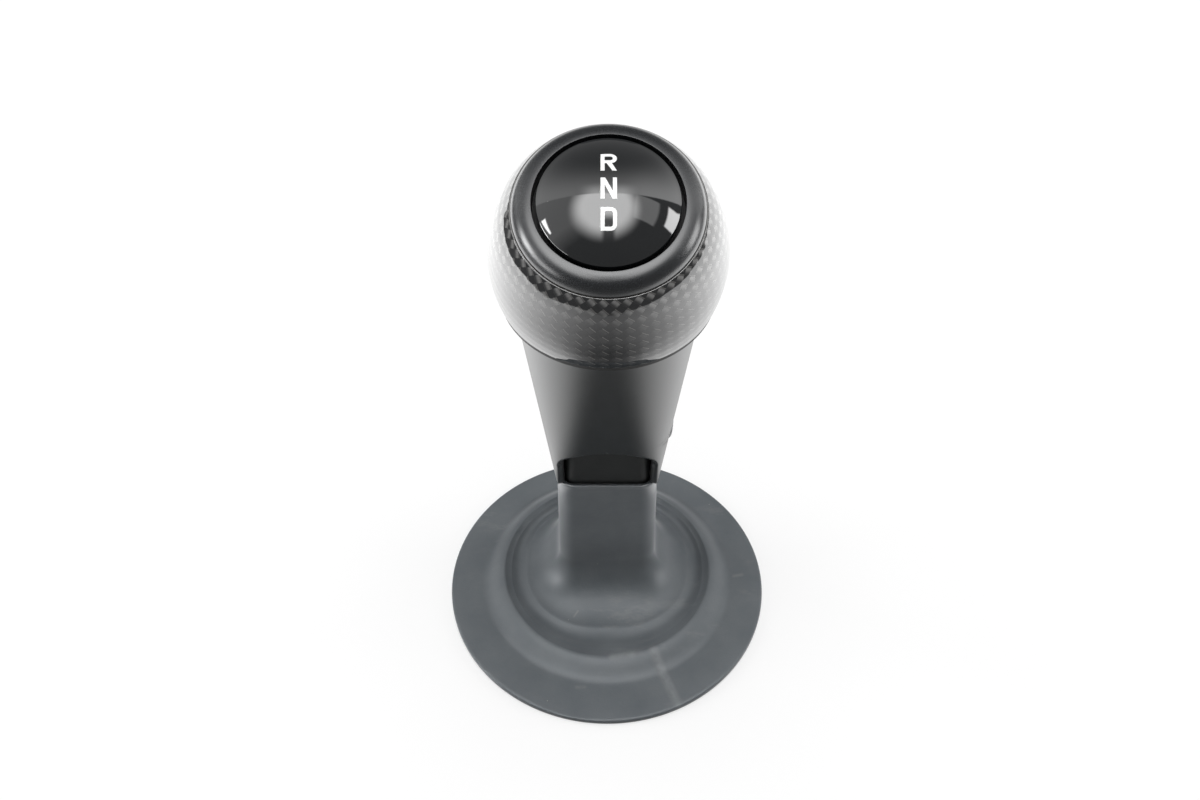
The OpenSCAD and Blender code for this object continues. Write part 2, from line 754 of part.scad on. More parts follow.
// Push button on the right of the neck, with its stem and ramp
module release_button() {
    color([0.05, 0.05, 0.06]) on_axis(button_z) intersection() {
        union() {
            difference() {
                leaning_bar(button_in, button_proud);
                bar_x(pocket_r, button_in - over, pocket_end);
            }
            bar_x(stem_r, -chamber_r, pocket_end + slice_t);
        }
        above_ramp(run_gap);
    }
}

// Bush that guides the button, a cup with a hole for the stem
module button_guide() {
    color([0.75, 0.75, 0.7]) on_axis(button_z) difference() {
        bar_x(guide_r, guide_in, guide_end);
        bar_x(guide_bore_r, spring_seat, guide_end + over);
        bar_x(stem_r + run_gap, guide_in - over, spring_seat + over);
    }
}

// Spring that returns the button
module button_spring() {
    color([0.7, 0.7, 0.72]) on_axis(button_z) translate([spring_seat, 0, 0])
        rotate([0, 90, 0]) coil(stem_r + run_gap, pocket_end - spring_seat);
}

// Plug that closes the same seat on the left of the neck
module blank_plug() {
    color([0.08, 0.08, 0.085]) on_axis(button_z) mirror([1, 0, 0]) {
        bar_x(guide_r, guide_in, guide_end);
        leaning_bar(guide_end - slice_t, plug_proud);
    }
}

// Rod that the button drives down into the lever, with a ramped head
module release_rod() {
    color([0.8, 0.78, 0.6]) difference() {
        on_axis() {
            translate([0, 0, lever_top_z + tip_gap])
                cylinder(r = rod_r, h = head_low_z - lever_top_z, $fn = round_fn);
            translate([0, 0, head_low_z])
                cylinder(r = head_r, h = head_drop + ramp_shift + head_r, $fn = round_fn);
        }
        on_axis(button_z) above_ramp(0);
    }
}

// Spring under the rod's head
module rod_spring() {
    color([0.7, 0.7, 0.72]) on_axis(chamber_z) coil(rod_r + run_gap, rod_spring_l);
}

// Collar inside the boot's rim, bored for the frame's spigot
module boot_frame() {
    color([0.1, 0.1, 0.1]) on_axis(lip_z - boot_frame_h) difference() {
        linear_extrude(boot_frame_h)
            round_rect(block_half_w, block_half_d, block_corner);
        translate([0, 0, -over])
            cylinder(r = spigot_r + run_gap, h = boot_frame_h + over * 2, $fn = round_fn);
    }
}

// Ring of the boot between the sleeve, at share 0, and the ridge, at share 1
function dish_ring(z, share, inset) =
    rect_ring(z,
        (sleeve_half_w - inset) * (1 - share) + ridge_r * share,
        (sleeve_half_d - inset) * (1 - share) + ridge_r * share,
        (sleeve_corner - inset) * (1 - share) + ridge_r * share,
        axis_y * (1 - share) + ridge_y * share, boot_steps);

// Ring between the ridge, at share 0, and the disc's edge, at share 1
function disc_ring(z, share) =
    let (r = ridge_r * (1 - share) + disc_r * share)
    rect_ring(z, r, r, r, ridge_y * (1 - share), boot_steps);

// Steps along the flare, the dish and the slope
flare_steps = 8;
dish_steps = 8;
slope_steps = 4;

// Rings of one face of the sleeve, from the rim down to the flare
function sleeve_face(inset) =
    [dish_ring(boot_h, 0, inset), dish_ring(dish_h + flare_h, 0, inset)];

// Rings of one face of the flare and the dish, out to the ridge
function dish_face(inset) = concat(
    [for (i = [0:flare_steps]) let (a = 90 * i / flare_steps)
        dish_ring(dish_h - inset + (flare_h + inset) * (1 - sin(a)),
                  flare_share * (1 - cos(a)), inset)],
    [for (i = [1:dish_steps]) let (
            s = i / dish_steps,
            dip = groove_dip * sin(180 * min(s / groove_share, 1)),
            climb = (ridge_h - dish_h) * pow(s, ridge_power))
        dish_ring(dish_h - inset - dip + climb, flare_share + (1 - flare_share) * s, inset)]);

// Rings of one face of the disc, from the ridge to the disc's edge
function disc_face(inset) = concat(
    [for (i = [0:slope_steps]) let (s = i / slope_steps)
        disc_ring(boot_t - inset + (ridge_h - boot_t) * (1 + cos(180 * s)) / 2,
                  slope_share * s)],
    [disc_ring(boot_t - inset, 1)]);

// Closed skin between an outer and an inner face
module boot_skin(outer, inner) {
    rings = concat(outer, [for (i = [len(inner) - 1:-1:0]) inner[i]]);
    count = len(rings);
    across = (boot_steps + 1) * 4;
    color([0.28, 0.29, 0.3]) polyhedron(
        points = [for (ring = rings, p = ring) p],
        faces = [for (i = [0:count - 1], j = [0:across - 1])
            let (m = (i + 1) % count, k = (j + 1) % across)
            [i * across + j, i * across + k, m * across + k, m * across + j]]);
}

// The rubber boot is one skin on the real knob. It is three nodes here, so that collision
// follows its sleeve, its dish and its disc
module boot_sleeve() {
    boot_skin(sleeve_face(0), sleeve_face(boot_t));
}

module boot_dish() {
    boot_skin(dish_face(0), dish_face(boot_t));
}

module boot_disc() {
    boot_skin(disc_face(0), disc_face(boot_t));
}

top_cap();
gear_letters();
bezel_ring();
cap_plate();
plate_screws();
carbon_shell();
ball_core();
core_screws();
spacer_ring();
neck_cover();
neck_frame();
shank();
roll_pin();
set_screw();
release_button();
button_guide();
button_spring();
blank_plug();
release_rod();
rod_spring();
boot_frame();
boot_sleeve();
boot_dish();
boot_disc();
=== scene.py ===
# Gear shift knob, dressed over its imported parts.
# Shapes are worked out with numpy in millimetres and put into meshes in metres.
import json
import math

import bmesh
import bpy
import numpy as np
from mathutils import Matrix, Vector


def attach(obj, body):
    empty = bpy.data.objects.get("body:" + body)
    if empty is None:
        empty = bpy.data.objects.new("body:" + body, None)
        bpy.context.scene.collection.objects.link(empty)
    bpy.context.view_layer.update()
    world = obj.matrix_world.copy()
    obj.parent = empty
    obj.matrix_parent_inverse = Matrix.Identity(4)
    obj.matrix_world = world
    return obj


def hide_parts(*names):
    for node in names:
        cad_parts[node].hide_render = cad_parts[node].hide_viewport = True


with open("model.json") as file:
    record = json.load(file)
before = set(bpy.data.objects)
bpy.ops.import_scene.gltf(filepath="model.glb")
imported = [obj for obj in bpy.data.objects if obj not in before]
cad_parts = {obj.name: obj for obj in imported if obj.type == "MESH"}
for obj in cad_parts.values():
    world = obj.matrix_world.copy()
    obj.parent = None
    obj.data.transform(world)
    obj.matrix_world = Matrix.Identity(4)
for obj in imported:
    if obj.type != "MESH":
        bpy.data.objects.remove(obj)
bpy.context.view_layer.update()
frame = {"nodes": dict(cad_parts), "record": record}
print("frame loaded")

# Camera at the photograph's viewing angle
photo = {"place": (-0.0017, -0.2618, 0.3969), "turn": 39.05, "lens": 57.0}
lensData = bpy.data.cameras.new("photoCamera")
lensData.lens = photo["lens"]
lensData.clip_start = 0.01
camera = bpy.data.objects.new("photoCamera", lensData)
camera.location = photo["place"]
camera.rotation_euler = (math.radians(photo["turn"]), 0, 0)
bpy.context.scene.collection.objects.link(camera)
bpy.context.scene.camera = camera
bpy.context.scene.view_settings.view_transform = "Standard"

# Sizes that the pieces share with the solids, in mm
knob = {"ballZ": 112.7, "axisY": 8.5, "tilt": 15.8, "seatH": 17.0, "rimH": 20.3,
        "plateTop": 16.4, "plateH": 14.0, "bezelR": 19.42, "openingR": 15.32, "capR": 14.42,
        "skirtR": 16.82, "neckTop": 101.4, "footZ": 102.2, "lipZ": 42.8, "buttonZ": 55.0}


# Shapes

def onFace(points):
    # turns the height axis back by the tilt and moves it to the ball's centre
    t = math.radians(knob["tilt"])
    x, y, z = points[..., 0], points[..., 1], points[..., 2]
    return np.stack([x, y * math.cos(t) - z * math.sin(t) + knob["axisY"],
                     y * math.sin(t) + z * math.cos(t) + knob["ballZ"]], -1)


def softPath(corners, steps=6):
    # a closed path of corners (x, y, radius): each arc starts and ends at
    # radius / tan(half the corner's angle) from its corner
    spots = np.array([c[:2] for c in corners], float)
    parts = []
    for i, (x, y, r) in enumerate(corners):
        p, a, b = spots[i], spots[i - 1], spots[(i + 1) % len(corners)]
        if r <= 0:
            parts.append(p[None])
            continue
        toA, toB = a - p, b - p
        lenA, lenB = np.linalg.norm(toA), np.linalg.norm(toB)
        toA, toB = toA / lenA, toB / lenB
        half = 0.5 * math.acos(float(np.clip(toA @ toB, -1, 1)))
        back = min(r / math.tan(half), 0.35 * lenA, 0.35 * lenB)
        r = back * math.tan(half)
        middle = (toA + toB) / np.linalg.norm(toA + toB) * r / math.sin(half)
        first, last = toA * back - middle, toB * back - middle
        turn = math.pi - 2 * half
        s = np.linspace(0, 1, steps + 1)[:, None]
        arc = (np.sin((1 - s) * turn) * first + np.sin(s * turn) * last) / math.sin(turn)
        parts += [(p + toA * back * 1.3)[None], p + middle + arc, (p + toB * back * 1.3)[None]]
    return np.concatenate(parts)


def turned(profile, sides):
    # a profile (r, h) carried round: (r cos a, r sin a, h)
    a = np.linspace(0, 2 * math.pi, sides, endpoint=False)[None]
    r, h = profile[:, :1], profile[:, 1:]
    return np.stack([r * np.cos(a), r * np.sin(a), h + 0 * a], -1)


def gridFaces(rows, cols, ringed=False):
    # four-cornered faces between neighbouring rows and columns, columns closed round
    i, j = np.meshgrid(np.arange(rows if ringed else rows - 1), np.arange(cols), indexing="ij")
    m, k = (i + 1) % rows, (j + 1) % cols
    return np.stack([i * cols + j, m * cols + j, m * cols + k, i * cols + k], -1).reshape(-1, 4)


def makePiece(name, points, faces, material, nodes, uv=None, smooth=True):
    # points in mm become a mesh in metres, with its seams and poles merged
    mesh = bpy.data.meshes.new(name)
    mesh.from_pydata((points * 0.001).tolist(), [],
                     faces if isinstance(faces, list) else faces.tolist())
    if uv is not None:
        layer = mesh.uv_layers.new(name="cloth")
        layer.data.foreach_set("uv", np.ascontiguousarray(uv, dtype=np.float32).ravel())
    work = bmesh.new()
    work.from_mesh(mesh)
    bmesh.ops.remove_doubles(work, verts=work.verts, dist=2e-7)
    bmesh.ops.recalc_face_normals(work, faces=work.faces)
    work.to_mesh(mesh)
    work.free()
    mesh.polygons.foreach_set("use_smooth", np.full(len(mesh.polygons), smooth))
    mesh.materials.append(material)
    piece = bpy.data.objects.new(name, mesh)
    bpy.context.scene.collection.objects.link(piece)
    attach(piece, "knob")
    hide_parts(*nodes)


def sheetNormals(points, faces):
    # the sum of the cross products of each face's diagonals, at each of its corners
    across = points[faces[:, 2]] - points[faces[:, 0]]
    along = points[faces[:, 3]] - points[faces[:, 1]]
    normals = np.zeros_like(points)
    for c in range(4):
        np.add.at(normals, faces[:, c], np.cross(across, along))
    return normals / np.maximum(np.linalg.norm(normals, axis=1, keepdims=True), 1e-9)


def thickSheet(outer, inner, faces, edges, steps=6):
    # both faces of a wall, joined along each edge loop by a half round nose:
    # outer to inner by (1 - cos) / 2, and out past the edge by a bulge times sin
    count = len(outer)
    points = [outer, inner]
    allFaces = [faces, faces[:, ::-1] + count]
    start = count * 2
    for loop, out, bulge in edges:
        n = len(loop)
        a = np.linspace(0, math.pi, steps + 1)[1:-1, None, None]
        rows = outer[loop] + (inner[loop] - outer[loop]) * (1 - np.cos(a)) / 2
        rows = rows + out * bulge * np.sin(a)
        points.append(rows.reshape(-1, 3))
        ids = np.concatenate([loop[None], start + np.arange((steps - 1) * n).reshape(-1, n),
                              loop[None] + count])
        nxt = np.roll(ids, -1, axis=1)
        allFaces.append(np.stack([ids[:-1], ids[1:], nxt[1:], nxt[:-1]], -1).reshape(-1, 4))
        start += (steps - 1) * n
    return np.concatenate(points), np.concatenate(allFaces)


# Materials

def shader(name, color, roughness, metallic=0.0, coat=0.0, coatRoughness=0.03, level=0.5,
           sheen=0.0):
    # a material with the values that are the same all over the surface
    material = bpy.data.materials.new(name)
    material.use_nodes = True
    nodes = material.node_tree.nodes
    body = nodes["Principled BSDF"]
    body.inputs["Base Color"].default_value = (*color, 1)
    body.inputs["Roughness"].default_value = roughness
    body.inputs["Metallic"].default_value = metallic
    body.inputs["Coat Weight"].default_value = coat
    body.inputs["Coat Roughness"].default_value = coatRoughness
    body.inputs["Specular IOR Level"].default_value = level
    body.inputs["Sheen Weight"].default_value = sheen
    body.inputs["Sheen Roughness"].default_value = 0.35
    return material, material.node_tree, body


def newGroup(name, inputs, outputs):
    # a node group: an input without a value is a vector, and every other one a number
    tree = bpy.data.node_groups.new(name, "ShaderNodeTree")
    for label, value in inputs.items():
        kind = "NodeSocketVector" if value is None else "NodeSocketFloat"
        socket = tree.interface.new_socket(name=label, in_out="INPUT", socket_type=kind)
        if value is not None:
            socket.default_value = value
    for label in outputs:
        tree.interface.new_socket(name=label, in_out="OUTPUT", socket_type="NodeSocketFloat")
    return tree, tree.nodes.new("NodeGroupInput"), tree.nodes.new("NodeGroupOutput")


def sums(tree, how, a, b=None, c=None):
    # one Math node: numbers are set on it, sockets are linked to it
    node = tree.nodes.new("ShaderNodeMath")
    node.operation = how
    for spot, value in enumerate((a, b, c)):
        if value is None:
            continue
        if isinstance(value, (int, float)):
            node.inputs[spot].default_value = value
        else:
            tree.links.new(value, node.inputs[spot])
    return node.outputs[0]


def ramp(tree, value, low, high, toLow=0.0, toHigh=1.0, smooth=False):
    # toLow + (toHigh - toLow) t, with t = (value - low) / (high - low) held in 0 to 1
    node = tree.nodes.new("ShaderNodeMapRange")
    if smooth:
        node.interpolation_type = "SMOOTHSTEP"
    tree.links.new(value, node.inputs["Value"])
    for label, number in (("From Min", low), ("From Max", high), ("To Min", toLow),
                          ("To Max", toHigh)):
        node.inputs[label].default_value = number
    return node.outputs["Result"]


def rest(tree, value):
    # one less the value
    return sums(tree, "SUBTRACT", 1.0, value)


def product(tree, *values):
    # all the values multiplied together
    total = values[0]
    for value in values[1:]:
        total = sums(tree, "MULTIPLY", total, value)
    return total


def between(tree, value, low, high, soft=0.02):
    # one from low to high and zero outside, with soft ends
    return product(tree, ramp(tree, value, low - soft, low + soft, smooth=True),
                   ramp(tree, value, high + soft, high - soft, smooth=True))


def vectors(tree, how, a, b=None, scale=None):
    # one Vector Math node: a tuple is set on it, sockets are linked to it
    node = tree.nodes.new("ShaderNodeVectorMath")
    node.operation = how
    for spot, value in enumerate((a, b)):
        if isinstance(value, tuple):
            node.inputs[spot].default_value = value
        elif value is not None:
            tree.links.new(value, node.inputs[spot])
    if scale is not None:
        tree.links.new(scale, node.inputs["Scale"])
    return node.outputs["Value" if how in ("DOT_PRODUCT", "LENGTH") else "Vector"]


def axesOf(tree, spots="Object"):
    # x, y and z of the spot on a piece, or of a direction in the world
    place = tree.nodes.new("ShaderNodeTexCoord")
    split = tree.nodes.new("ShaderNodeSeparateXYZ")
    tree.links.new(place.outputs[spots], split.inputs[0])
    return split.outputs


def noise(tree, vector, scale, detail=3.0, rough=0.5):
    # cloudy noise round a half, with scale clouds to the metre
    node = tree.nodes.new("ShaderNodeTexNoise")
    tree.links.new(vector, node.inputs["Vector"])
    if isinstance(scale, (int, float)):
        node.inputs["Scale"].default_value = scale
    else:
        tree.links.new(scale, node.inputs["Scale"])
    node.inputs["Detail"].default_value = detail
    node.inputs["Roughness"].default_value = rough
    return node.outputs["Fac"]


# Wear that all moulded and painted skins share
wear = {"slowScale": 90.0, "fineShare": 0.4, "dotR": 0.05, "dustScale": 420.0,
        "dustColor": (0.35, 0.35, 0.34), "rubScale": 60.0, "rubPlaces": 38.0,
        "rubStretch": (1.0, 2.6, 2.0), "rubTurn": (0.0, 0.3, 0.6),
        "streakRange": (0.56, 0.7), "placeRange": (0.5, 0.66)}

# Fine grain of a moulded or painted skin: its height, its roughness and a slow shade
grain, gIn, gOut = newGroup("mouldedGrain", {"Vector": None, "Scale": 4000.0, "Low": 0.3,
                                             "High": 0.4}, ("Height", "Roughness", "Shade"))
fine = noise(grain, gIn.outputs["Vector"], gIn.outputs["Scale"], 2.0)
slow = noise(grain, gIn.outputs["Vector"], wear["slowScale"], 4.0, 0.6)
spread = sums(grain, "SUBTRACT", gIn.outputs["High"], gIn.outputs["Low"])
mixed = sums(grain, "ADD", sums(grain, "MULTIPLY", fine, wear["fineShare"]),
             sums(grain, "MULTIPLY", slow, 1 - wear["fineShare"]))
grain.links.new(fine, gOut.inputs["Height"])
grain.links.new(sums(grain, "MULTIPLY_ADD", mixed, spread, gIn.outputs["Low"]),
                gOut.inputs["Roughness"])
grain.links.new(ramp(grain, slow, 0.3, 0.7), gOut.inputs["Shade"])

# Dust specks: small dots that only some cells of a Voronoi pattern carry
dust, dIn, dOut = newGroup("dustSpecks", {"Vector": None, "Scale": 300.0, "Share": 0.1},
                           ("Mask",))
cells = dust.nodes.new("ShaderNodeTexVoronoi")
dust.links.new(dIn.outputs["Vector"], cells.inputs["Vector"])
dust.links.new(dIn.outputs["Scale"], cells.inputs["Scale"])
dot = ramp(dust, cells.outputs["Distance"], wear["dotR"], wear["dotR"] / 2)
apart = dust.nodes.new("ShaderNodeSeparateColor")
dust.links.new(cells.outputs["Color"], apart.inputs[0])
chosen = sums(dust, "LESS_THAN", apart.outputs[0], dIn.outputs["Share"])
dust.links.new(sums(dust, "MULTIPLY", dot, chosen), dOut.inputs["Mask"])

# Rubbed marks: long thin noise, kept where a slow noise is high
rubs, rIn, rOut = newGroup("rubbedMarks", {"Vector": None, "Scale": 60.0}, ("Mask",))
stretch = rubs.nodes.new("ShaderNodeMapping")
stretch.inputs["Scale"].default_value = wear["rubStretch"]
stretch.inputs["Rotation"].default_value = wear["rubTurn"]
rubs.links.new(rIn.outputs["Vector"], stretch.inputs["Vector"])
streaks = ramp(rubs, noise(rubs, stretch.outputs[0], rIn.outputs["Scale"], 5.0, 0.7),
               *wear["streakRange"])
places = ramp(rubs, noise(rubs, rIn.outputs["Vector"], wear["rubPlaces"], 2.0),
              *wear["placeRange"])
rubs.links.new(sums(rubs, "MULTIPLY", streaks, places), rOut.inputs["Mask"])

# Plain cloth laid at 45 degrees: with p = u + v and q = u - v, the tow that runs along p
# lies on top where floor p + floor q is even, and the tow that runs along q elsewhere
weave, wIn, wOut = newGroup("plainCloth", {"Cells": None},
                            ("Across", "Height", "Streak", "Upper", "Edge"))
axes = weave.nodes.new("ShaderNodeSeparateXYZ")
weave.links.new(wIn.outputs["Cells"], axes.inputs[0])
p = sums(weave, "ADD", axes.outputs[0], axes.outputs[1])
q = sums(weave, "SUBTRACT", axes.outputs[0], axes.outputs[1])
pPart, qPart = sums(weave, "FRACT", p), sums(weave, "FRACT", q)
step = sums(weave, "ADD", sums(weave, "FLOOR", p), sums(weave, "FLOOR", q))
odd = sums(weave, "GREATER_THAN", sums(weave, "FLOORED_MODULO", step, 2.0), 0.5)
even = rest(weave, odd)


def either(ifEven, ifOdd):
    # ifEven times even + ifOdd times odd
    return sums(weave, "ADD", sums(weave, "MULTIPLY", ifEven, even),
                sums(weave, "MULTIPLY", ifOdd, odd))


def towHeight(along, across):
    # a float bulges across by the root of 4 t (1 - t) and along by the sine of pi t
    wide = sums(weave, "POWER", product(weave, across, 4.0, rest(weave, across)), 0.5)
    long = sums(weave, "SINE", sums(weave, "MULTIPLY", along, math.pi))
    return sums(weave, "MULTIPLY", wide, long)


def fibres(pScale, qScale):
    # noise drawn out along a tow: many clouds across it and few along it
    place = weave.nodes.new("ShaderNodeCombineXYZ")
    weave.links.new(sums(weave, "MULTIPLY", p, pScale), place.inputs[0])
    weave.links.new(sums(weave, "MULTIPLY", q, qScale), place.inputs[1])
    return noise(weave, place.outputs[0], 1.0, 2.0)


weave.links.new(odd, wOut.inputs["Across"])
weave.links.new(either(towHeight(pPart, qPart), towHeight(qPart, pPart)), wOut.inputs["Height"])
weave.links.new(either(fibres(0.7, 12.0), fibres(12.0, 0.7)), wOut.inputs["Streak"])
# Upper marks each float's upper end and Edge a thin band along one side of the tows along q; the
# carbon paints its shine and glint with them
weave.links.new(either(rest(weave, pPart), qPart), wOut.inputs["Upper"])
weave.links.new(sums(weave, "MULTIPLY", ramp(weave, qPart, 0.13, 0.05), even),
                wOut.inputs["Edge"])


def placeGroup(tree, group, values, vector="Object"):
    # a group with its own values, fed with the spot on the piece or on its cloth
    node = tree.nodes.new("ShaderNodeGroup")
    node.node_tree = group
    spots = tree.nodes.new("ShaderNodeTexCoord")
    tree.links.new(spots.outputs[vector], node.inputs[0])
    for label, value in values.items():
        node.inputs[label].default_value = value
    return node


def mixColor(tree, mask, low, high):
    # low + (high - low) times the mask
    node = tree.nodes.new("ShaderNodeMix")
    node.data_type = "RGBA"
    tree.links.new(mask, node.inputs["Factor"])
    for spot, value in ((6, low), (7, high)):
        if isinstance(value, tuple):
            node.inputs[spot].default_value = (*value, 1)
        else:
            tree.links.new(value, node.inputs[spot])
    return node.outputs[2]


def bump(tree, body, height, distance, strength=1.0):
    # leans the normal by the slope of height times distance
    node = tree.nodes.new("ShaderNodeBump")
    node.inputs["Distance"].default_value = distance
    node.inputs["Strength"].default_value = strength
    tree.links.new(height, node.inputs["Height"])
    tree.links.new(node.outputs[0], body.inputs["Normal"])


def moulded(name, color, pale, low, high, scale=3500.0, depth=0.00002, dustShare=0.05,
            rubColor=None, **more):
    # a skin with grain, a slow shade, dust and, if it has a colour, rubbed marks
    material, tree, body = shader(name, color, low, **more)
    skin = placeGroup(tree, grain, {"Scale": scale, "Low": low, "High": high})
    tint = mixColor(tree, skin.outputs["Shade"], color, pale)
    if rubColor:
        marks = placeGroup(tree, rubs, {"Scale": wear["rubScale"]})
        tint = mixColor(tree, marks.outputs["Mask"], tint, rubColor)
    if dustShare:
        specks = placeGroup(tree, dust, {"Scale": wear["dustScale"], "Share": dustShare})
        tint = mixColor(tree, specks.outputs["Mask"], tint, wear["dustColor"])
    tree.links.new(tint, body.inputs["Base Color"])
    tree.links.new(skin.outputs["Roughness"], body.inputs["Roughness"])
    bump(tree, body, skin.outputs["Height"], depth)
    return material


bare = {"metallic": 1.0, "dustShare": 0.0}  # plain metal
finishes = {
    "gloss_black": moulded("pianoBlack", (0.008, 0.009, 0.010), (0.011, 0.012, 0.013), 0.02, 0.05,
                           depth=0.0000004, dustShare=0.03, level=0.6),
    "letter_white": moulded("letterWhite", (0.86, 0.87, 0.87), (0.92, 0.92, 0.92), 0.35, 0.45,
                            dustShare=0.0, depth=0.000002),
    "satin_black": moulded("satinBlack", (0.009, 0.010, 0.0115), (0.013, 0.014, 0.0155),
                           0.24, 0.31, scale=5000.0, depth=0.000004, dustShare=0.02),
    "inner_plastic": moulded("innerPlastic", (0.010, 0.010, 0.010), (0.015, 0.015, 0.015),
                             0.45, 0.6, level=0.2),
    "screw_steel": moulded("zincSteel", (0.5, 0.5, 0.52), (0.62, 0.62, 0.63), 0.25, 0.4, **bare),
    "neck_paint": moulded("neckPaint", (0.011, 0.0125, 0.013), (0.015, 0.017, 0.0175), 0.26, 0.32,
                          scale=6000.0, depth=0.000004, dustShare=0.015),
    "frame_plastic": moulded("framePlastic", (0.009, 0.010, 0.010), (0.013, 0.014, 0.014),
                             0.5, 0.62, level=0.25),
    "shank_steel": moulded("turnedSteel", (0.55, 0.55, 0.56), (0.66, 0.66, 0.67), 0.22, 0.36,
                           **bare),
    "button_plastic": moulded("buttonPlastic", (0.022, 0.024, 0.030), (0.03, 0.032, 0.038),
                              0.16, 0.24, depth=0.000003, dustShare=0.02),
    "guide_plastic": moulded("guideAcetal", (0.66, 0.66, 0.62), (0.72, 0.72, 0.68), 0.35, 0.5,
                             dustShare=0.0),
    "spring_steel": moulded("springWire", (0.6, 0.6, 0.6), (0.7, 0.7, 0.7), 0.2, 0.35, **bare),
    "rod_brass": moulded("turnedBrass", (0.72, 0.56, 0.28), (0.8, 0.64, 0.34), 0.22, 0.36, **bare),
    "boot_rubber": moulded("bootRubber", (0.066, 0.074, 0.081), (0.090, 0.099, 0.106), 0.40, 0.52,
                           scale=2600.0, depth=0.00003, dustShare=0.06,
                           rubColor=(0.125, 0.133, 0.138), level=0.3, sheen=0.45),
}

# Pale lines on the rubber: a line's mask falls off with the distance from the segment
# between its ends, which is |p - a - t w| with t = (p - a) . w / w . w held in 0 to 1
line, lIn, lOut = newGroup("paleLine", {"Vector": None, "Start": None, "Way": None,
                                          "Width": 0.001, "Strength": 0.5}, ("Mask",))
flatSpot = vectors(line, "MULTIPLY", lIn.outputs["Vector"], (1, 1, 0))
rel = vectors(line, "SUBTRACT", flatSpot, lIn.outputs["Start"])
way = lIn.outputs["Way"]
share = ramp(line, sums(line, "DIVIDE", vectors(line, "DOT_PRODUCT", rel, way),
                        vectors(line, "DOT_PRODUCT", way, way)), 0.0, 1.0)
away = vectors(line, "LENGTH", vectors(line, "SUBTRACT", rel,
                                       vectors(line, "SCALE", way, scale=share)))
near = ramp(line, sums(line, "DIVIDE", away, lIn.outputs["Width"]), 1.0, 0.0, smooth=True)
patchy = ramp(line, noise(line, lIn.outputs["Vector"], 900.0, 4.0, 0.6), 0.3, 0.6, 0.6, 1.0)
line.links.new(product(line, near, patchy, lIn.outputs["Strength"]), lOut.inputs["Mask"])

# the lines on the disc: start, way, width and strength of each, in metres
paleLines = {"color": (0.19, 0.20, 0.205), "lines": (
    # a pale band along the crease
    ((0.0112, -0.0203, 0), (0.0054, -0.0131, 0), 0.0019, 0.55),
    # a painted highlight along the ridge's front crest
    ((0.0012, -0.0221, 0), (0.0048, 0.0006, 0), 0.0014, 0.60),
    ((-0.0072, -0.0292, 0), (0.0017, 0, 0), 0.0009, 0.25),
    ((0.0317, 0.0026, 0), (0.0020, 0.0003, 0), 0.0008, 0.35),
    ((-0.0081, -0.0103, 0), (0.0010, 0.0014, 0), 0.0004, 0.40))}
tree = finishes["boot_rubber"].node_tree
body = tree.nodes["Principled BSDF"]
tint = body.inputs["Base Color"].links[0].from_socket
for start, way, width, strength in paleLines["lines"]:
    mark = placeGroup(tree, line, {"Start": start, "Way": way, "Width": width,
                                   "Strength": strength})
    tint = mixColor(tree, mark.outputs["Mask"], tint, paleLines["color"])
tree.links.new(tint, body.inputs["Base Color"])

# Hands have rubbed the sleeve to a shine: the coat rises with the height z
sleeveShine = {"low": 0.008, "high": 0.018, "coat": 0.8, "roughness": 0.16}
tree.links.new(ramp(tree, axesOf(tree)[2], sleeveShine["low"], sleeveShine["high"], 0.0,
                    sleeveShine["coat"], True), body.inputs["Coat Weight"])
body.inputs["Coat Roughness"].default_value = sleeveShine["roughness"]

# Carbon cloth under a clear coat, its highlights painted into the colour: the tows across carry a
# painted shine at their upper ends, fading by the height z towards the foot, and those along a
# painted glint as a fine light edge
clothLook = {"dark": (0.010, 0.0105, 0.0115), "paintedShine": (0.18, 0.178, 0.175),
             "edge": (0.12, 0.117, 0.112), "highZ": 0.123, "lowZ": 0.1165,
             "lowShare": 0.14, "depth": 0.00012, "strength": 0.8, "threads": (0.3, 0.7, 0.6, 1.0),
             "upper": (0.2, 0.7, 0.08, 1.0), "deep": (0.05, 0.3), "roughness": (0.5, 0.36)}
finishes["carbon"], tree, body = shader("carbonCloth", clothLook["dark"], 0.4, coat=1.0,
                                        coatRoughness=0.02, level=0.0)
cloth = placeGroup(tree, weave, {}, vector="UV")
# painted light by height: the painted shine is full above highZ and falls to lowShare below lowZ
paintedShineFade = ramp(tree, axesOf(tree)[2], clothLook["lowZ"], clothLook["highZ"],
            clothLook["lowShare"], 1.0)
threads = ramp(tree, cloth.outputs["Streak"], *clothLook["threads"])
upper = ramp(tree, cloth.outputs["Upper"], *clothLook["upper"], True)
deep = ramp(tree, cloth.outputs["Height"], *clothLook["deep"])
# the painted shine: where a tow across lies on top, at its upper end, along its threads and high
# on the ball
paintedShine = product(tree, cloth.outputs["Across"], upper, threads, deep, paintedShineFade)
lit = mixColor(tree, paintedShine, clothLook["dark"], clothLook["paintedShine"])
# the edge colour is a painted glint along one side of the tows along
tree.links.new(mixColor(tree, cloth.outputs["Edge"], lit, clothLook["edge"]),
               body.inputs["Base Color"])
tree.links.new(ramp(tree, cloth.outputs["Across"], 0, 1, *clothLook["roughness"]),
               body.inputs["Roughness"])
bump(tree, body, cloth.outputs["Height"], clothLook["depth"], clothLook["strength"])
print("materials made")

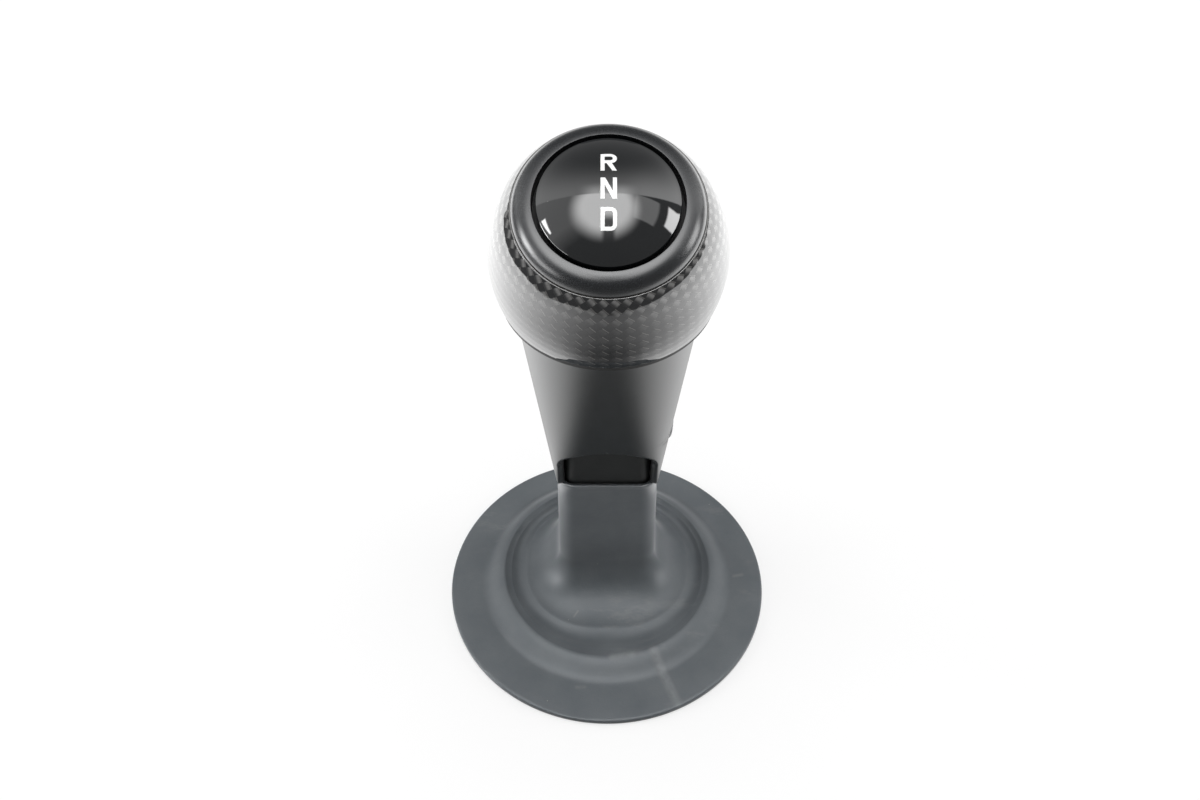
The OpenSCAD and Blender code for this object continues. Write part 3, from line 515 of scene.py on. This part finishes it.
# Cap: a dome of the right radius that turns down over a soft edge into its skirt
cap = {"rise": 5.5, "wall": 1.8, "side": 1.3, "edge": 0.45, "fall": 0.12, "sides": 160,
       "rings": 40}
domeR = (knob["capR"] ** 2 + cap["rise"] ** 2) / (2 * cap["rise"])
domeH = knob["rimH"] + cap["rise"] - domeR
edgeTurn = math.asin((knob["capR"] - 0.5 * cap["edge"]) / domeR)
lean = np.linspace(0, edgeTurn, cap["rings"])
dome = np.stack([domeR * np.sin(lean), domeH + domeR * np.cos(lean)], -1)
underR = domeR - cap["wall"]
inEdge = knob["capR"] - cap["side"]
under = np.linspace(math.asin(inEdge / underR), 0, cap["rings"] // 2)
underDome = np.stack([underR * np.sin(under), domeH + underR * np.cos(under)], -1)
skirt = softPath([(*dome[-2], 0), (knob["capR"], dome[-1][1] - cap["fall"], cap["edge"]),
                  (knob["capR"], knob["plateTop"], 0.2), (inEdge, knob["plateTop"], 0.2),
                  (*underDome[0], 0)])
profile = np.concatenate([dome[:-1], skirt[1:-1], underDome])
capGrid = onFace(turned(profile, cap["sides"]))
makePiece("capDome", capGrid.reshape(-1, 3), gridFaces(len(profile), cap["sides"]),
          finishes["gloss_black"], ["top_cap"])

# Letters: flat outlines laid on the dome, a hair above it
letter = {"h": 4.7, "w": 3.2, "stroke": 0.8, "pitch": 6.4, "lift": 0.02, "depth": 0.25,
          "round": 0.4, "bowl": 0.58, "slant": 0.655}


def roundTab(x0, y0, w, h, r, steps=8):
    # a box with its two right corners rounded, anticlockwise
    a = np.linspace(-90, 0, steps + 1) * math.pi / 180
    low = np.stack([x0 + w - r + r * np.cos(a), y0 + r + r * np.sin(a)], -1)
    top = np.stack([x0 + w - r + r * np.cos(a + math.pi / 2),
                    y0 + h - r + r * np.sin(a + math.pi / 2)], -1)
    return np.concatenate([[[x0, y0]], low, top, [[x0, y0 + h]]])


def letterLoops(sign):
    # closed outlines on a box w by h with strokes s wide, holes clockwise
    h, w, s, r = letter["h"], letter["w"], letter["stroke"], letter["w"] * letter["round"]
    if sign == "D":
        return [roundTab(0, 0, w, h, r), roundTab(s, s, w - 2 * s, h - 2 * s, r - s)[::-1]]
    if sign == "N":
        low = h * letter["slant"]
        return [np.array([[0, 0], [s, 0], [s, low], [w - s * 1.1, 0], [w, 0], [w, h],
                          [w - s, h], [w - s, h - low], [s * 1.1, h], [0, h]])]
    bowl = h * letter["bowl"]
    bow = roundTab(0, h - bowl, w, bowl, r)[1:]
    leg = np.array([[0, 0], [s, 0], [s, h - bowl], [w * 0.5 - s * 0.5, h - bowl],
                    [w - s * 1.15, 0], [w, 0], [w * 0.5 + s * 0.75, h - bowl]])
    return [np.concatenate([leg, bow]),
            roundTab(s, h - bowl + s, w - 2 * s, bowl - 2 * s, r - s)[::-1]]


def evenly(loop, step=0.22):
    # points along a closed loop at even steps, its corners kept
    ends = np.roll(loop, -1, axis=0)
    parts = []
    for a, b in zip(loop, ends):
        n = max(1, int(round(np.linalg.norm(b - a) / step)))
        parts.append(a + (b - a) * np.arange(n)[:, None] / n)
    return np.concatenate(parts)


def layLetter(sign, turn):
    # fills the loops, then lays them on the dome: the flat point (x, y) at the dome's
    # height is scaled onto the dome's radius, and turned along the dome by its pitch
    loops = [evenly(loop) - (letter["w"] / 2, letter["h"] / 2) for loop in letterLoops(sign)]
    first, ends = 0, []
    for loop in loops:
        ids = first + np.arange(len(loop))
        ends.append(np.stack([ids, np.roll(ids, -1)], -1))
        first += len(loop)
    rim = np.concatenate(ends)
    up = np.pad(np.concatenate(loops), ((0, 0), (0, 1)), constant_values=domeR)
    flat = bpy.data.meshes.new("flat")
    flat.from_pydata((up * (1, 1, 0)).tolist(), rim.tolist(), [])
    work = bmesh.new()
    work.from_mesh(flat)
    bmesh.ops.triangle_fill(work, edges=work.edges, use_beauty=True)
    work.to_mesh(flat)
    work.free()
    faces = np.zeros(len(flat.loops), dtype=np.int32)
    flat.loops.foreach_get("vertex_index", faces)
    faces = faces.reshape(-1, 3)
    bpy.data.meshes.remove(flat)
    up = up / np.linalg.norm(up, axis=1, keepdims=True)
    c, s = math.cos(turn), math.sin(turn)
    up = np.stack([up[:, 0], up[:, 1] * c - up[:, 2] * s, up[:, 1] * s + up[:, 2] * c], -1)
    top, low = up * (domeR + letter["lift"]), up * (domeR - letter["depth"])
    count = len(up)
    walls = np.stack([rim[:, 0], rim[:, 1], rim[:, 1] + count, rim[:, 0] + count], -1)
    every = faces.tolist() + (faces[:, ::-1] + count).tolist() + walls.tolist()
    return np.concatenate([top, low]) + (0, 0, domeH), every


spots, sides, count = [], [], 0
for step, sign in ((-1, "R"), (0, "N"), (1, "D")):
    points, faces = layLetter(sign, step * letter["pitch"] / domeR)
    sides += [[i + count for i in face] for face in faces]
    spots.append(points)
    count += len(points)
makePiece("gearLetters", onFace(np.concatenate(spots)), sides, finishes["letter_white"],
          ["gear_letters"], smooth=False)
print("cap and letters made")

# Bezel: a rolled face between its outer chamfer and its inner rim, on a skirt
bezel = {"edge": 0.35, "roll": 4.5, "sides": 200, "rings": 26}
outer = np.array([knob["bezelR"], knob["seatH"] + bezel["edge"]])
inner = np.array([knob["openingR"], knob["rimH"]])
chord = inner - outer
half = np.linalg.norm(chord) / 2
middle = (outer + inner) / 2 + np.array([-chord[1], chord[0]]) \
    * math.sqrt(bezel["roll"] ** 2 - half ** 2) / (2 * half)
fromA = math.atan2(*(outer - middle)[::-1])
toA = math.atan2(*(inner - middle)[::-1])
a = np.linspace(fromA, toA, bezel["rings"])[1:-1]
roll = middle + bezel["roll"] * np.stack([np.cos(a), np.sin(a)], -1)
profile = softPath([(knob["openingR"], knob["plateH"], 0.2), (knob["skirtR"], knob["plateH"], 0.2),
                    (knob["skirtR"], knob["seatH"], 0), (knob["bezelR"], knob["seatH"], 0.1),
                    (*outer, 0.12)] + [(*p, 0) for p in roll] + [(*inner, 0.25)], 4)
makePiece("bezelRoll", onFace(turned(profile, bezel["sides"])).reshape(-1, 3),
          gridFaces(len(profile), bezel["sides"], True), finishes["satin_black"],
          ["bezel_ring"])

# Ball: directions turn evenly from the seat's circle to the foot's circle. The distance
# from the centre is 25 mm, plus a bulge above the tilted equator and one below the level
# one, each -k cos e + root(k k cos e cos e + R R - k k) - 25 with k = R - 25
ball = {"r": 25.0, "shoulder": 30.0, "foot": 30.0, "wall": 1.6, "rows": 100, "sides": 432,
        "cells": 54, "cell": 2.35, "ripple": 0.005, "footEdge": 0.3}


def bulge(rise, arcR):
    k, e = arcR - ball["r"], np.maximum(rise, 0)
    return -k * np.cos(e) + np.sqrt((k * np.cos(e)) ** 2 + arcR ** 2 - k ** 2) - ball["r"]


def circleAt(arcR, height):
    # the circle where an arc of radius R, centred k = R - 25 inside the axis, has a height
    r = ball["r"] - arcR + math.sqrt(arcR ** 2 - height ** 2)
    return np.stack([r * np.cos(a), r * np.sin(a), np.full_like(a, height)], -1)


tilt = math.radians(knob["tilt"])
faceAxis = np.array([0, -math.sin(tilt), math.cos(tilt)])
a = np.linspace(0, 2 * math.pi, ball["sides"], endpoint=False)
centre = np.array([0, knob["axisY"], knob["ballZ"]])
top = onFace(circleAt(ball["shoulder"], knob["seatH"])) - centre
low = circleAt(ball["foot"], knob["footZ"] - knob["ballZ"])
top = top / np.linalg.norm(top, axis=1, keepdims=True)
low = low / np.linalg.norm(low, axis=1, keepdims=True)
s = np.linspace(0, 1, ball["rows"])[:, None, None]
arc = np.arccos(np.sum(top * low, axis=1))[None, :, None]
ways = (np.sin((1 - s) * arc) * top + np.sin(s * arc) * low) / np.sin(arc)
aboveTilt = np.arcsin(np.clip(ways @ faceAxis, -1, 1))
belowLevel = np.arcsin(np.clip(-ways[..., 2], -1, 1))
reach = ball["r"] + bulge(aboveTilt, ball["shoulder"]) + bulge(belowLevel, ball["foot"])
span = reach * arc[..., 0]
fromFoot = (1 - s[..., 0]) * span
# the clear coat ripples over the weave, and its edge at the foot is round
around = np.arange(ball["sides"])[None] * ball["cells"] / ball["sides"]
down = s[..., 0] * span / ball["cell"]
reach = reach + ball["ripple"] * (np.cos(2 * math.pi * around) + np.cos(2 * math.pi * down))
near = np.clip(1 - fromFoot / ball["footEdge"], 0, 1)
reach = reach - ball["footEdge"] * (1 - np.sqrt(1 - near ** 2))
shell = centre + ways * reach[..., None]
inside = centre + ways * (reach[..., None] - ball["wall"])
inside[-1, :, 2] = knob["footZ"]
faces = gridFaces(ball["rows"], ball["sides"])
count = ball["rows"] * ball["sides"]
loops = [(np.arange(ball["sides"])[::-1], np.zeros((ball["sides"], 3)), 0.0),
         (np.arange(count - ball["sides"], count), np.zeros((ball["sides"], 3)), 0.0)]
points, every = thickSheet(shell.reshape(-1, 3), inside.reshape(-1, 3), faces, loops, 2)
# the cloth's u counts cells round the ball and its v counts them down from the seat
i, j = np.meshgrid(np.arange(ball["rows"] - 1), np.arange(ball["sides"]), indexing="ij")
wrap = np.concatenate([down, down[:, :1]], 1)
clothUv = np.stack([np.stack([(j + right) * ball["cells"] / ball["sides"],
                              wrap[i + below, j + right]], -1)
                    for below, right in ((0, 0), (1, 0), (1, 1), (0, 1))], 2).reshape(-1, 2)
uv = np.zeros((len(every) * 4, 2))
uv[:len(clothUv)] = clothUv
makePiece("carbonBall", points, every, finishes["carbon"], ["carbon_shell"], uv=uv)
print("bezel and ball made")

# Neck: at each height a rectangle with round corners, its half width, half depth and
# corner changing evenly from lip to top, cut in front by an arch and holed for the button
neck = {"topR": 20.4, "lipW": 11.9, "lipD": 10.4, "lipCorner": 4.5, "wall": 1.8, "cheek": 0.5,
        "archRise": 18.6, "archRound": 10.2, "archPower": 0.85, "holeR": 3.5,
        "patch": 5.2, "cols": 170, "nose": 0.32, "holeEdge": 0.1, "steps": 6,
        "patchSteps": (0.3, 0.6, 0.85, 1.0)}


def neckSizes(z):
    # half width, half depth and corner at height z, each a straight line in z
    share = (z - knob["lipZ"]) / (knob["neckTop"] - knob["lipZ"])
    w = neck["lipW"] + (neck["topR"] - neck["lipW"]) * share
    d = neck["lipD"] + (neck["topR"] - neck["lipD"]) * share
    c = neck["lipCorner"] + (neck["topR"] - neck["lipCorner"]) * share
    return w, d, np.minimum(c, np.minimum(w, d) - 0.02)


archZ = knob["lipZ"] + neck["archRise"]
springZ = archZ - neck["archRound"]
turn = np.radians(np.linspace(90, 0, 40)[1:])
high = np.linspace(knob["neckTop"], archZ + 0.02, 44)
arch = springZ + neck["archRound"] * np.sin(turn)
legs = np.linspace(springZ, knob["lipZ"], 14)[1:]
zRows = np.concatenate([high, arch, legs])
gap = np.concatenate([np.zeros(len(high)),
                      (neck["lipW"] - neck["cheek"]) * np.cos(turn) ** neck["archPower"],
                      np.full(len(legs), neck["lipW"] - neck["cheek"])])


def neckRow(z, cut):
    # samples the ring from its front middle, then spaces the columns evenly by length
    # from one side of the cut round the back to the other
    w, d, c = neckSizes(z)
    t = np.linspace(-math.pi / 2, 1.5 * math.pi, 1441)
    x = np.sign(np.cos(t)) * (w - c) * (np.abs(np.cos(t)) > 1e-9) + c * np.cos(t)
    y = np.sign(np.sin(t)) * (d - c) * (np.abs(np.sin(t)) > 1e-9) + c * np.sin(t)
    length = np.concatenate([[0], np.cumsum(np.hypot(np.diff(x), np.diff(y)))])
    quarter = t <= 0
    start = np.interp(cut, x[quarter], length[quarter])
    at = np.linspace(start, length[-1] - start, neck["cols"])
    return np.stack([np.interp(at, length, x), np.interp(at, length, y) + knob["axisY"],
                     np.full(neck["cols"], z)], -1)


sheet = np.stack([neckRow(z, cut) for z, cut in zip(zRows, gap)])
rowCount, colCount = sheet.shape[:2]
i, j = np.meshgrid(np.arange(rowCount - 1), np.arange(colCount - 1), indexing="ij")
idOf = i * colCount + j
quads = np.stack([idOf, idOf + colCount, idOf + colCount + 1, idOf + 1], -1)

# the patch round the button's hole: its border is joined to the hole by rings of faces
nearHole = (sheet[..., 0] > 0) & (np.abs(sheet[..., 1] - knob["axisY"]) < neck["patch"]) \
    & (np.abs(sheet[..., 2] - knob["buttonZ"]) < neck["patch"])
rowsIn, colsIn = np.where(nearHole.sum(1) > 2)[0], np.where(nearHole.sum(0) > 2)[0]
r0, r1, c0, c1 = rowsIn[0], rowsIn[-1], colsIn[0], colsIn[-1]
quads = quads[(i < r0) | (i >= r1) | (j < c0) | (j >= c1)]
border = np.concatenate([
    r0 * colCount + np.arange(c0, c1), np.arange(r0, r1) * colCount + c1,
    r1 * colCount + np.arange(c1, c0, -1), np.arange(r1, r0, -1) * colCount + c0])
flat = sheet.reshape(-1, 3)
edge = flat[border][:, 1:] - (knob["axisY"], knob["buttonZ"])
bearing = np.unwrap(np.arctan2(edge[:, 1], edge[:, 0]))
circle = neck["holeR"] * np.stack([np.cos(bearing), np.sin(bearing)], -1)
rings, patchFaces, lastRing, count = [], [], border, len(flat)
for step in neck["patchSteps"]:
    yz = edge + (circle - edge) * step
    z = yz[:, 1] + knob["buttonZ"]
    w, d, c = neckSizes(z)
    off = np.maximum(np.abs(yz[:, 0]) - (d - c), 0)
    x = w - c + np.sqrt(np.maximum(c ** 2 - off ** 2, 0))
    ids = count + np.arange(len(border))
    count += len(border)
    rings.append(np.stack([x, yz[:, 0] + knob["axisY"], z], -1))
    patchFaces.append(np.stack([lastRing, ids, np.roll(ids, -1), np.roll(lastRing, -1)], -1))
    lastRing = ids
flat = np.concatenate([flat] + rings)
quads = np.concatenate([quads] + patchFaces)
# orient every face outwards from the neck's axis
mid = flat[quads].mean(1) - (0, knob["axisY"], 0)
across = flat[quads[:, 2]] - flat[quads[:, 0]]
along = flat[quads[:, 3]] - flat[quads[:, 1]]
wrong = (np.cross(across, along)[:, :2] * mid[:, :2]).sum(1) < 0
quads[wrong] = quads[wrong][:, ::-1]
normals = sheetNormals(flat, quads)
# above the arch the first and last columns meet in front, so both face straight ahead
for pair in (0, colCount - 1):
    normals[np.arange(len(high)) * colCount + pair] = (0, -1, 0)
level = normals * (1, 1, 0)
level = level / np.linalg.norm(level, axis=1, keepdims=True)
backFace = flat - level * neck["wall"]


def outOf(first, second):
    # the unit way from the second points to the first
    way = flat[first] - flat[second]
    return way / np.maximum(np.linalg.norm(way, axis=1, keepdims=True), 1e-9)


# the lip's loop runs down the arch's right side, along the bottom and up the left side
bottom = (rowCount - 1) * colCount + np.arange(colCount)
rightSide = np.where(gap > 0)[0][:-1] * colCount
leftSide = rightSide[::-1] + colCount - 1
lipLoop = np.concatenate([rightSide, bottom, leftSide, [(len(high) - 1) * colCount]])
# its nose points to the middle of the arch round the head, and away from the sheet below
sideOut = outOf(rightSide, rightSide + 2)
headRows = int((zRows[rightSide // colCount] > springZ).sum())
sideOut[:headRows] = np.stack([-np.cos(turn), 0 * turn, -np.sin(turn)], -1)[:headRows]
lipOut = np.concatenate([sideOut, np.tile((0.0, 0.0, -1.0), (colCount, 1)),
                         sideOut[::-1] * (-1, 1, 1), [(0.0, 0.0, -1.0)]])
holeOut = np.concatenate([np.zeros((len(border), 1)), -circle / neck["holeR"]], 1)
points, every = thickSheet(flat, backFace, quads, [
    (lipLoop, lipOut, neck["nose"]),
    (np.arange(colCount - 1, 0, -1), np.zeros((colCount - 1, 3)), 0.0),
    (lastRing, holeOut, neck["holeEdge"])], neck["steps"])
makePiece("neckTube", points, every, finishes["neck_paint"], ["neck_cover"])
print("neck made")

# Boot: each row is a rectangle with round corners, which turns into a circle between
# the sleeve and the ridge. A ray from its middle at each bearing finds its radius
boot = {"rim": 42.8, "sleeveW": 11.6, "sleeveD": 9.0, "corner": 3.9, "wall": 1.3, "discR": 38.5,
        "ridgeR": 25.3, "ridgeY": 3.5, "ridgeH": 3.8, "dishH": 2.6, "dip": 0.5, "flareH": 10.5,
        "flareShare": 0.6, "dipShare": 0.7, "slope": 0.42, "climb": 3.5, "cols": 300,
        "rimRound": 0.8, "edgeShare": 0.012, "wave": 0.12, "waveFrom": 30, "waveOver": 6}


def roundRing(w, d, c, mid, z, bearing):
    # the ray meets a side, an end or the corner's circle, whichever its bearing picks
    w, d, c, mid, z = (np.asarray(k)[:, None] for k in (w, d, c, mid, z))
    cx, sy = np.abs(np.cos(bearing))[None], np.abs(np.sin(bearing))[None]
    toSide = w / np.maximum(cx, 1e-9)
    toEnd = d / np.maximum(sy, 1e-9)
    p, q = w - c, d - c
    near = p * cx + q * sy
    toCorner = near + np.sqrt(np.maximum(near ** 2 - (p ** 2 + q ** 2 - c ** 2), 0))
    r = np.where(toSide * sy <= q, toSide, np.where(toEnd * cx <= p, toEnd, toCorner))
    return np.stack([r * np.cos(bearing)[None], mid + r * np.sin(bearing)[None],
                     z + 0 * r], -1)


def dishRows(z, share, inset):
    # half width, half depth, corner and middle go from the sleeve's to the ridge's by share
    z, share, inset = np.broadcast_arrays(z, share, inset)
    return (((boot["sleeveW"] - inset) * (1 - share) + boot["ridgeR"] * share),
            ((boot["sleeveD"] - inset) * (1 - share) + boot["ridgeR"] * share),
            ((boot["corner"] - inset) * (1 - share) + boot["ridgeR"] * share),
            knob["axisY"] * (1 - share) + boot["ridgeY"] * share, z)


def discRows(z, share):
    # circles whose radius and middle go from the ridge's to the disc's by share
    z, share = np.broadcast_arrays(z, share)
    r = boot["ridgeR"] * (1 - share) + boot["discR"] * share
    return r, r, r - 1e-6, boot["ridgeY"] * (1 - share), z


def bootSide(inset):
    # sleeve, flare, dish, ridge and disc, from the rim down and out
    base, rise = boot["dishH"] - inset, boot["flareH"] + inset
    a = np.radians(np.linspace(0, 90, 26))
    s = np.linspace(0, 1, 34)[1:]
    dip = boot["dip"] * np.sin(math.pi * np.minimum(s / boot["dipShare"], 1))
    climb = (boot["ridgeH"] - boot["dishH"]) * s ** boot["climb"]
    q = np.linspace(0, 1, 14)[1:]
    far = np.linspace(boot["slope"], 1, 20)[1:-1]
    share = boot["flareShare"]
    top = boot["rim"] - boot["rimRound"]
    rows = [dishRows(np.linspace(top, base + rise, 30)[:-1], 0.0, inset),
            dishRows(base + rise * (1 - np.sin(a)), share * (1 - np.cos(a)), inset),
            dishRows(base - dip + climb, share + (1 - share) * s, inset),
            discRows(boot["wall"] - inset + (boot["ridgeH"] - boot["wall"])
                     * (1 + np.cos(math.pi * q)) / 2, boot["slope"] * q),
            discRows(boot["wall"] - inset, far)]
    return [np.concatenate(group) for group in zip(*rows)]


nose = np.radians(np.linspace(0, 180, 9)[1:-1])
t = boot["wall"]
rimRows = dishRows(boot["rim"] - t / 2 + t / 2 * np.sin(nose), 0.0, t / 2 * (1 + np.cos(nose)))
edgeRows = discRows(t / 2 + t / 2 * np.cos(nose), 1 - boot["edgeShare"] * (1 - np.sin(nose)))
outside, lining = bootSide(0.0), bootSide(t)
rows = [np.concatenate([rim, out, edge, back[::-1]]) for rim, out, edge, back in
        zip(rimRows, outside, edgeRows, lining)]
bearing = np.linspace(0, 2 * math.pi, boot["cols"], endpoint=False)
grid = roundRing(*rows, bearing)
upper = np.zeros(len(grid), dtype=bool)
upper[len(rimRows[0]):len(rimRows[0]) + len(outside[0])] = True
# slow waves of the disc, which grow towards its edge
x, y = grid[..., 0], grid[..., 1]
onDisc = np.clip((np.hypot(x, y) - boot["waveFrom"]) / boot["waveOver"], 0, 1) * upper[:, None]
wave = np.sin(5 * bearing + 0.7) * 0.5 + np.sin(9 * bearing + 2.1) * 0.3
grid[..., 2] += onDisc * boot["wave"] * (wave[None] + 0.6)
# the crease: a shallow V along a line from the ridge to the disc's edge
crease = {"start": (11.2, -20.3), "end": (16.6, -33.4), "depth": 0.35, "width": 0.5}
start, end = np.array(crease["start"]), np.array(crease["end"])
way = (end - start) / np.linalg.norm(end - start)
rel = np.stack([x, y], -1) - start
run = rel @ way
aside = rel @ np.array([-way[1], way[0]])
hold = np.clip(run / 3 + 0.4, 0, 1) * np.clip((np.linalg.norm(end - start) - run) / 3, 0, 1)
groove = crease["depth"] * hold * np.exp(-(aside / crease["width"]) ** 2)
grid[..., 2] -= upper[:, None] * groove
makePiece("bootRubber", grid.reshape(-1, 3), gridFaces(len(grid), boot["cols"], True),
          finishes["boot_rubber"], ["boot_sleeve", "boot_dish", "boot_disc"])
print("boot made")

# The solids that stay get their finishes
for part in frame["record"]["subparts"]:
    solid = frame["nodes"][part["node"]]
    if not solid.material_slots:
        solid.data.materials.append(None)
    for spot in solid.material_slots:
        spot.material = finishes[part["material_slot"]]
print("solids finished")

# Studio: a pale table in a plain room with one wide window overhead and one on each side.
# Glossy rays see the table and the room, and the camera sees plain white
studio = {"skyDiffuse": 0.36, "room": 0.3, "ceiling": 1.9, "rightShare": 1.5,
          "ceilingGlow": 3.4, "edgeLean": 0.33, "edgeAt": 0.455, "wall": 1.1, "panel": 1.9,
          "window": 9.0, "windowAt": (-0.05, -0.12), "windowSize": (0.52, 0.5), "stand": 0.9,
          "floorGlow": 0.6}
# the windows at the sides: limits in y and z, where each is full in x, and its level
sideWindows = {"left": ((-0.22, 0.06), (0.08, 0.39), -0.1, 24.0),
               "leftLow": ((-0.66, -0.2), (0.04, 0.3), -0.1, 9.0),
               "right": ((-0.15, 0.2), (0.04, 0.475), 0.1, 11.0)}
table = {"floorHalf": 3, "middle": 1.2, "left": 4.6, "right": 3.8, "beyond": 0.45,
         "nearShare": 0.35, "farShare": 1.1, "frontShade": 0.45,
         "edges": ((1, 0, 0.37), (-1, 0, 0.55), (0, 1, 0.28), (0.7, 0.7, 0.31),
                   (-0.7, 0.7, 0.45))}

world = bpy.data.worlds.new("studioSky")
bpy.context.scene.world = world
world.use_nodes = True
sky = world.node_tree
back = sky.nodes["Background"]
path = sky.nodes.new("ShaderNodeLightPath")
x, y, z = axesOf(sky, "Generated")
# past the edge where y + lean z = edge is the ceiling, and before it are window and walls
edgeOff = sums(sky, "SUBTRACT", sums(sky, "MULTIPLY_ADD", z, studio["edgeLean"], y),
               studio["edgeAt"])
onWall = ramp(sky, edgeOff, 0.008, -0.008)
onCeiling = rest(sky, onWall)
toRight = ramp(sky, x, 0.1, 0.6, 1.0, studio["rightShare"], True)
ceiling = product(sky, ramp(sky, edgeOff, 0.55, 0.0, 0.0, studio["ceiling"], True), toRight)
middle = ramp(sky, sums(sky, "ABSOLUTE", x), 0.5, 0.2, smooth=True)
ceiling = sums(sky, "ADD", ceiling, product(
    sky, middle, ramp(sky, edgeOff, 0.22, 0.0, 0.0, studio["ceilingGlow"], True)))
# the window's share falls with the root of the sum of ((x - x0) / w) and ((y - y0) / h) squared
offX, offY = (sums(sky, "DIVIDE", sums(sky, "SUBTRACT", along, mid), size) for along, mid, size
              in zip((x, y), studio["windowAt"], studio["windowSize"]))
off = sums(sky, "SQRT", sums(sky, "ADD", sums(sky, "MULTIPLY", offX, offX),
                             sums(sky, "MULTIPLY", offY, offY)))
window = product(sky, ramp(sky, off, 1.25, 0.7, 0.0, studio["window"], True),
                 ramp(sky, z, 0.0, 0.2))
# a stand in front of it hides its middle
stand = product(sky, ramp(sky, sums(sky, "ABSOLUTE", x), 0.16, 0.06, smooth=True),
                ramp(sky, y, -0.22, -0.4, smooth=True), studio["stand"])
window = product(sky, window, rest(sky, stand))
leftWall = product(sky, ramp(sky, x, -0.4, -0.55), ramp(sky, y, -0.6, -0.3),
                   ramp(sky, z, 0.02, 0.1), studio["wall"])
panel = product(sky, ramp(sky, x, 0.42, 0.46), between(sky, y, -0.27, 0.17, 0.015),
                ramp(sky, z, 0.6, 0.64), studio["panel"])
walls = sums(sky, "ADD", sums(sky, "ADD", window, leftWall), panel)
for spanY, spanZ, full, strength in sideWindows.values():
    walls = sums(sky, "ADD", walls, product(
        sky, between(sky, y, *spanY), between(sky, z, *spanZ), ramp(sky, x, 0, full), strength))
mirrored = sums(sky, "ADD", studio["room"], sums(
    sky, "ADD", sums(sky, "MULTIPLY", walls, onWall), sums(sky, "MULTIPLY", ceiling, onCeiling)))
plain = sums(sky, "MAXIMUM", path.outputs["Is Camera Ray"], path.outputs["Is Transmission Ray"])
glossy = path.outputs["Is Glossy Ray"]
level = sums(sky, "ADD", sums(sky, "MULTIPLY", glossy, mirrored), sums(
    sky, "MULTIPLY", rest(sky, glossy), studio["skyDiffuse"]))
sky.links.new(sums(sky, "MAXIMUM", level, plain), back.inputs["Strength"])
back.inputs["Color"].default_value = (1, 1, 1, 1)

floorMaterial = bpy.data.materials.new("paleFloor")
floorMaterial.use_nodes = True
tree = floorMaterial.node_tree
body = tree.nodes["Principled BSDF"]
body.inputs["Base Color"].default_value = (0.9, 0.9, 0.9, 1)
body.inputs["Roughness"].default_value = 0.8
body.inputs["Specular IOR Level"].default_value = 0.0
glow = tree.nodes.new("ShaderNodeEmission")
path = tree.nodes.new("ShaderNodeLightPath")
join = tree.nodes.new("ShaderNodeMixShader")
x, y = axesOf(tree)[:2]
place = tree.nodes.new("ShaderNodeTexCoord")
reach = sums(tree, "MAXIMUM", vectors(tree, "LENGTH", place.outputs["Object"]), 0.001)
# the level is middle + side (x / r) squared, less near the disc and least in front of it: a
# painted shadow of the knob
across = sums(tree, "DIVIDE", x, reach)
side = ramp(tree, x, -0.05, 0.05, table["left"], table["right"], True)
level = sums(tree, "MULTIPLY_ADD", sums(tree, "MULTIPLY", across, across), side, table["middle"])
level = product(tree, level, ramp(tree, reach, 0.03, 0.23, table["nearShare"],
                                  table["farShare"], True))
shade = product(tree, ramp(tree, sums(tree, "DIVIDE", y, reach), -0.5, -1.0, smooth=True),
                ramp(tree, reach, 0.1, 0.06), table["frontShade"])
level = product(tree, level, rest(tree, shade))
# the table is where across x + along y + off is above zero for each of its edges
inside = None
for across, along, off in table["edges"]:
    past = sums(tree, "ADD", sums(tree, "ADD", sums(tree, "MULTIPLY", x, across),
                sums(tree, "MULTIPLY", y, along)), off)
    inside = past if inside is None else sums(tree, "MINIMUM", inside, past)
onTable = ramp(tree, inside, 0.0, 0.006)
level = sums(tree, "ADD", sums(tree, "MULTIPLY", level, onTable), sums(
    tree, "MULTIPLY", rest(tree, onTable), table["beyond"]))
glossy = path.outputs["Is Glossy Ray"]
plain = sums(tree, "MAXIMUM", path.outputs["Is Camera Ray"], path.outputs["Is Transmission Ray"])
seen = sums(tree, "MAXIMUM", sums(tree, "MULTIPLY", plain, studio["floorGlow"]), glossy)
tree.links.new(seen, join.inputs[0])
tree.links.new(sums(tree, "ADD", sums(tree, "MULTIPLY", glossy, level),
                    rest(tree, glossy)), glow.inputs["Strength"])
tree.links.new(body.outputs[0], join.inputs[1])
tree.links.new(glow.outputs[0], join.inputs[2])
tree.links.new(join.outputs[0], tree.nodes["Material Output"].inputs["Surface"])

mesh = bpy.data.meshes.new("floor")
half, drop = table["floorHalf"], -0.0001
mesh.from_pydata([(-half, -half, drop), (half, -half, drop), (half, half, drop),
                  (-half, half, drop)], [], [[0, 1, 2, 3]])
mesh.materials.append(floorMaterial)
floor = bpy.data.objects.new("floor", mesh)
bpy.context.scene.collection.objects.link(floor)

# Fill lamps, which light without a reflection: place, aim, size and power of each
lamps = {"leftFill": ((-0.9, 0.1, 0.35), (0, 0, 0.08), (0.7, 0.6), 5.0),
         "rightFill": ((0.9, 0.1, 0.35), (0, 0, 0.08), (0.7, 0.6), 4.0),
         "topFill": ((0, 0.15, 1.2), (0, 0, 0), (0.9, 0.9), 9.0)}
for name, (place, aim, size, power) in lamps.items():
    data = bpy.data.lights.new(name, "AREA")
    data.shape = "RECTANGLE"
    data.size, data.size_y = size
    data.energy = power
    item = bpy.data.objects.new(name, data)
    item.location = place
    item.rotation_euler = (Vector(aim) - Vector(place)).to_track_quat("-Z", "Y").to_euler()
    item.visible_camera = False
    item.visible_glossy = False
    bpy.context.scene.collection.objects.link(item)
print("studio set")
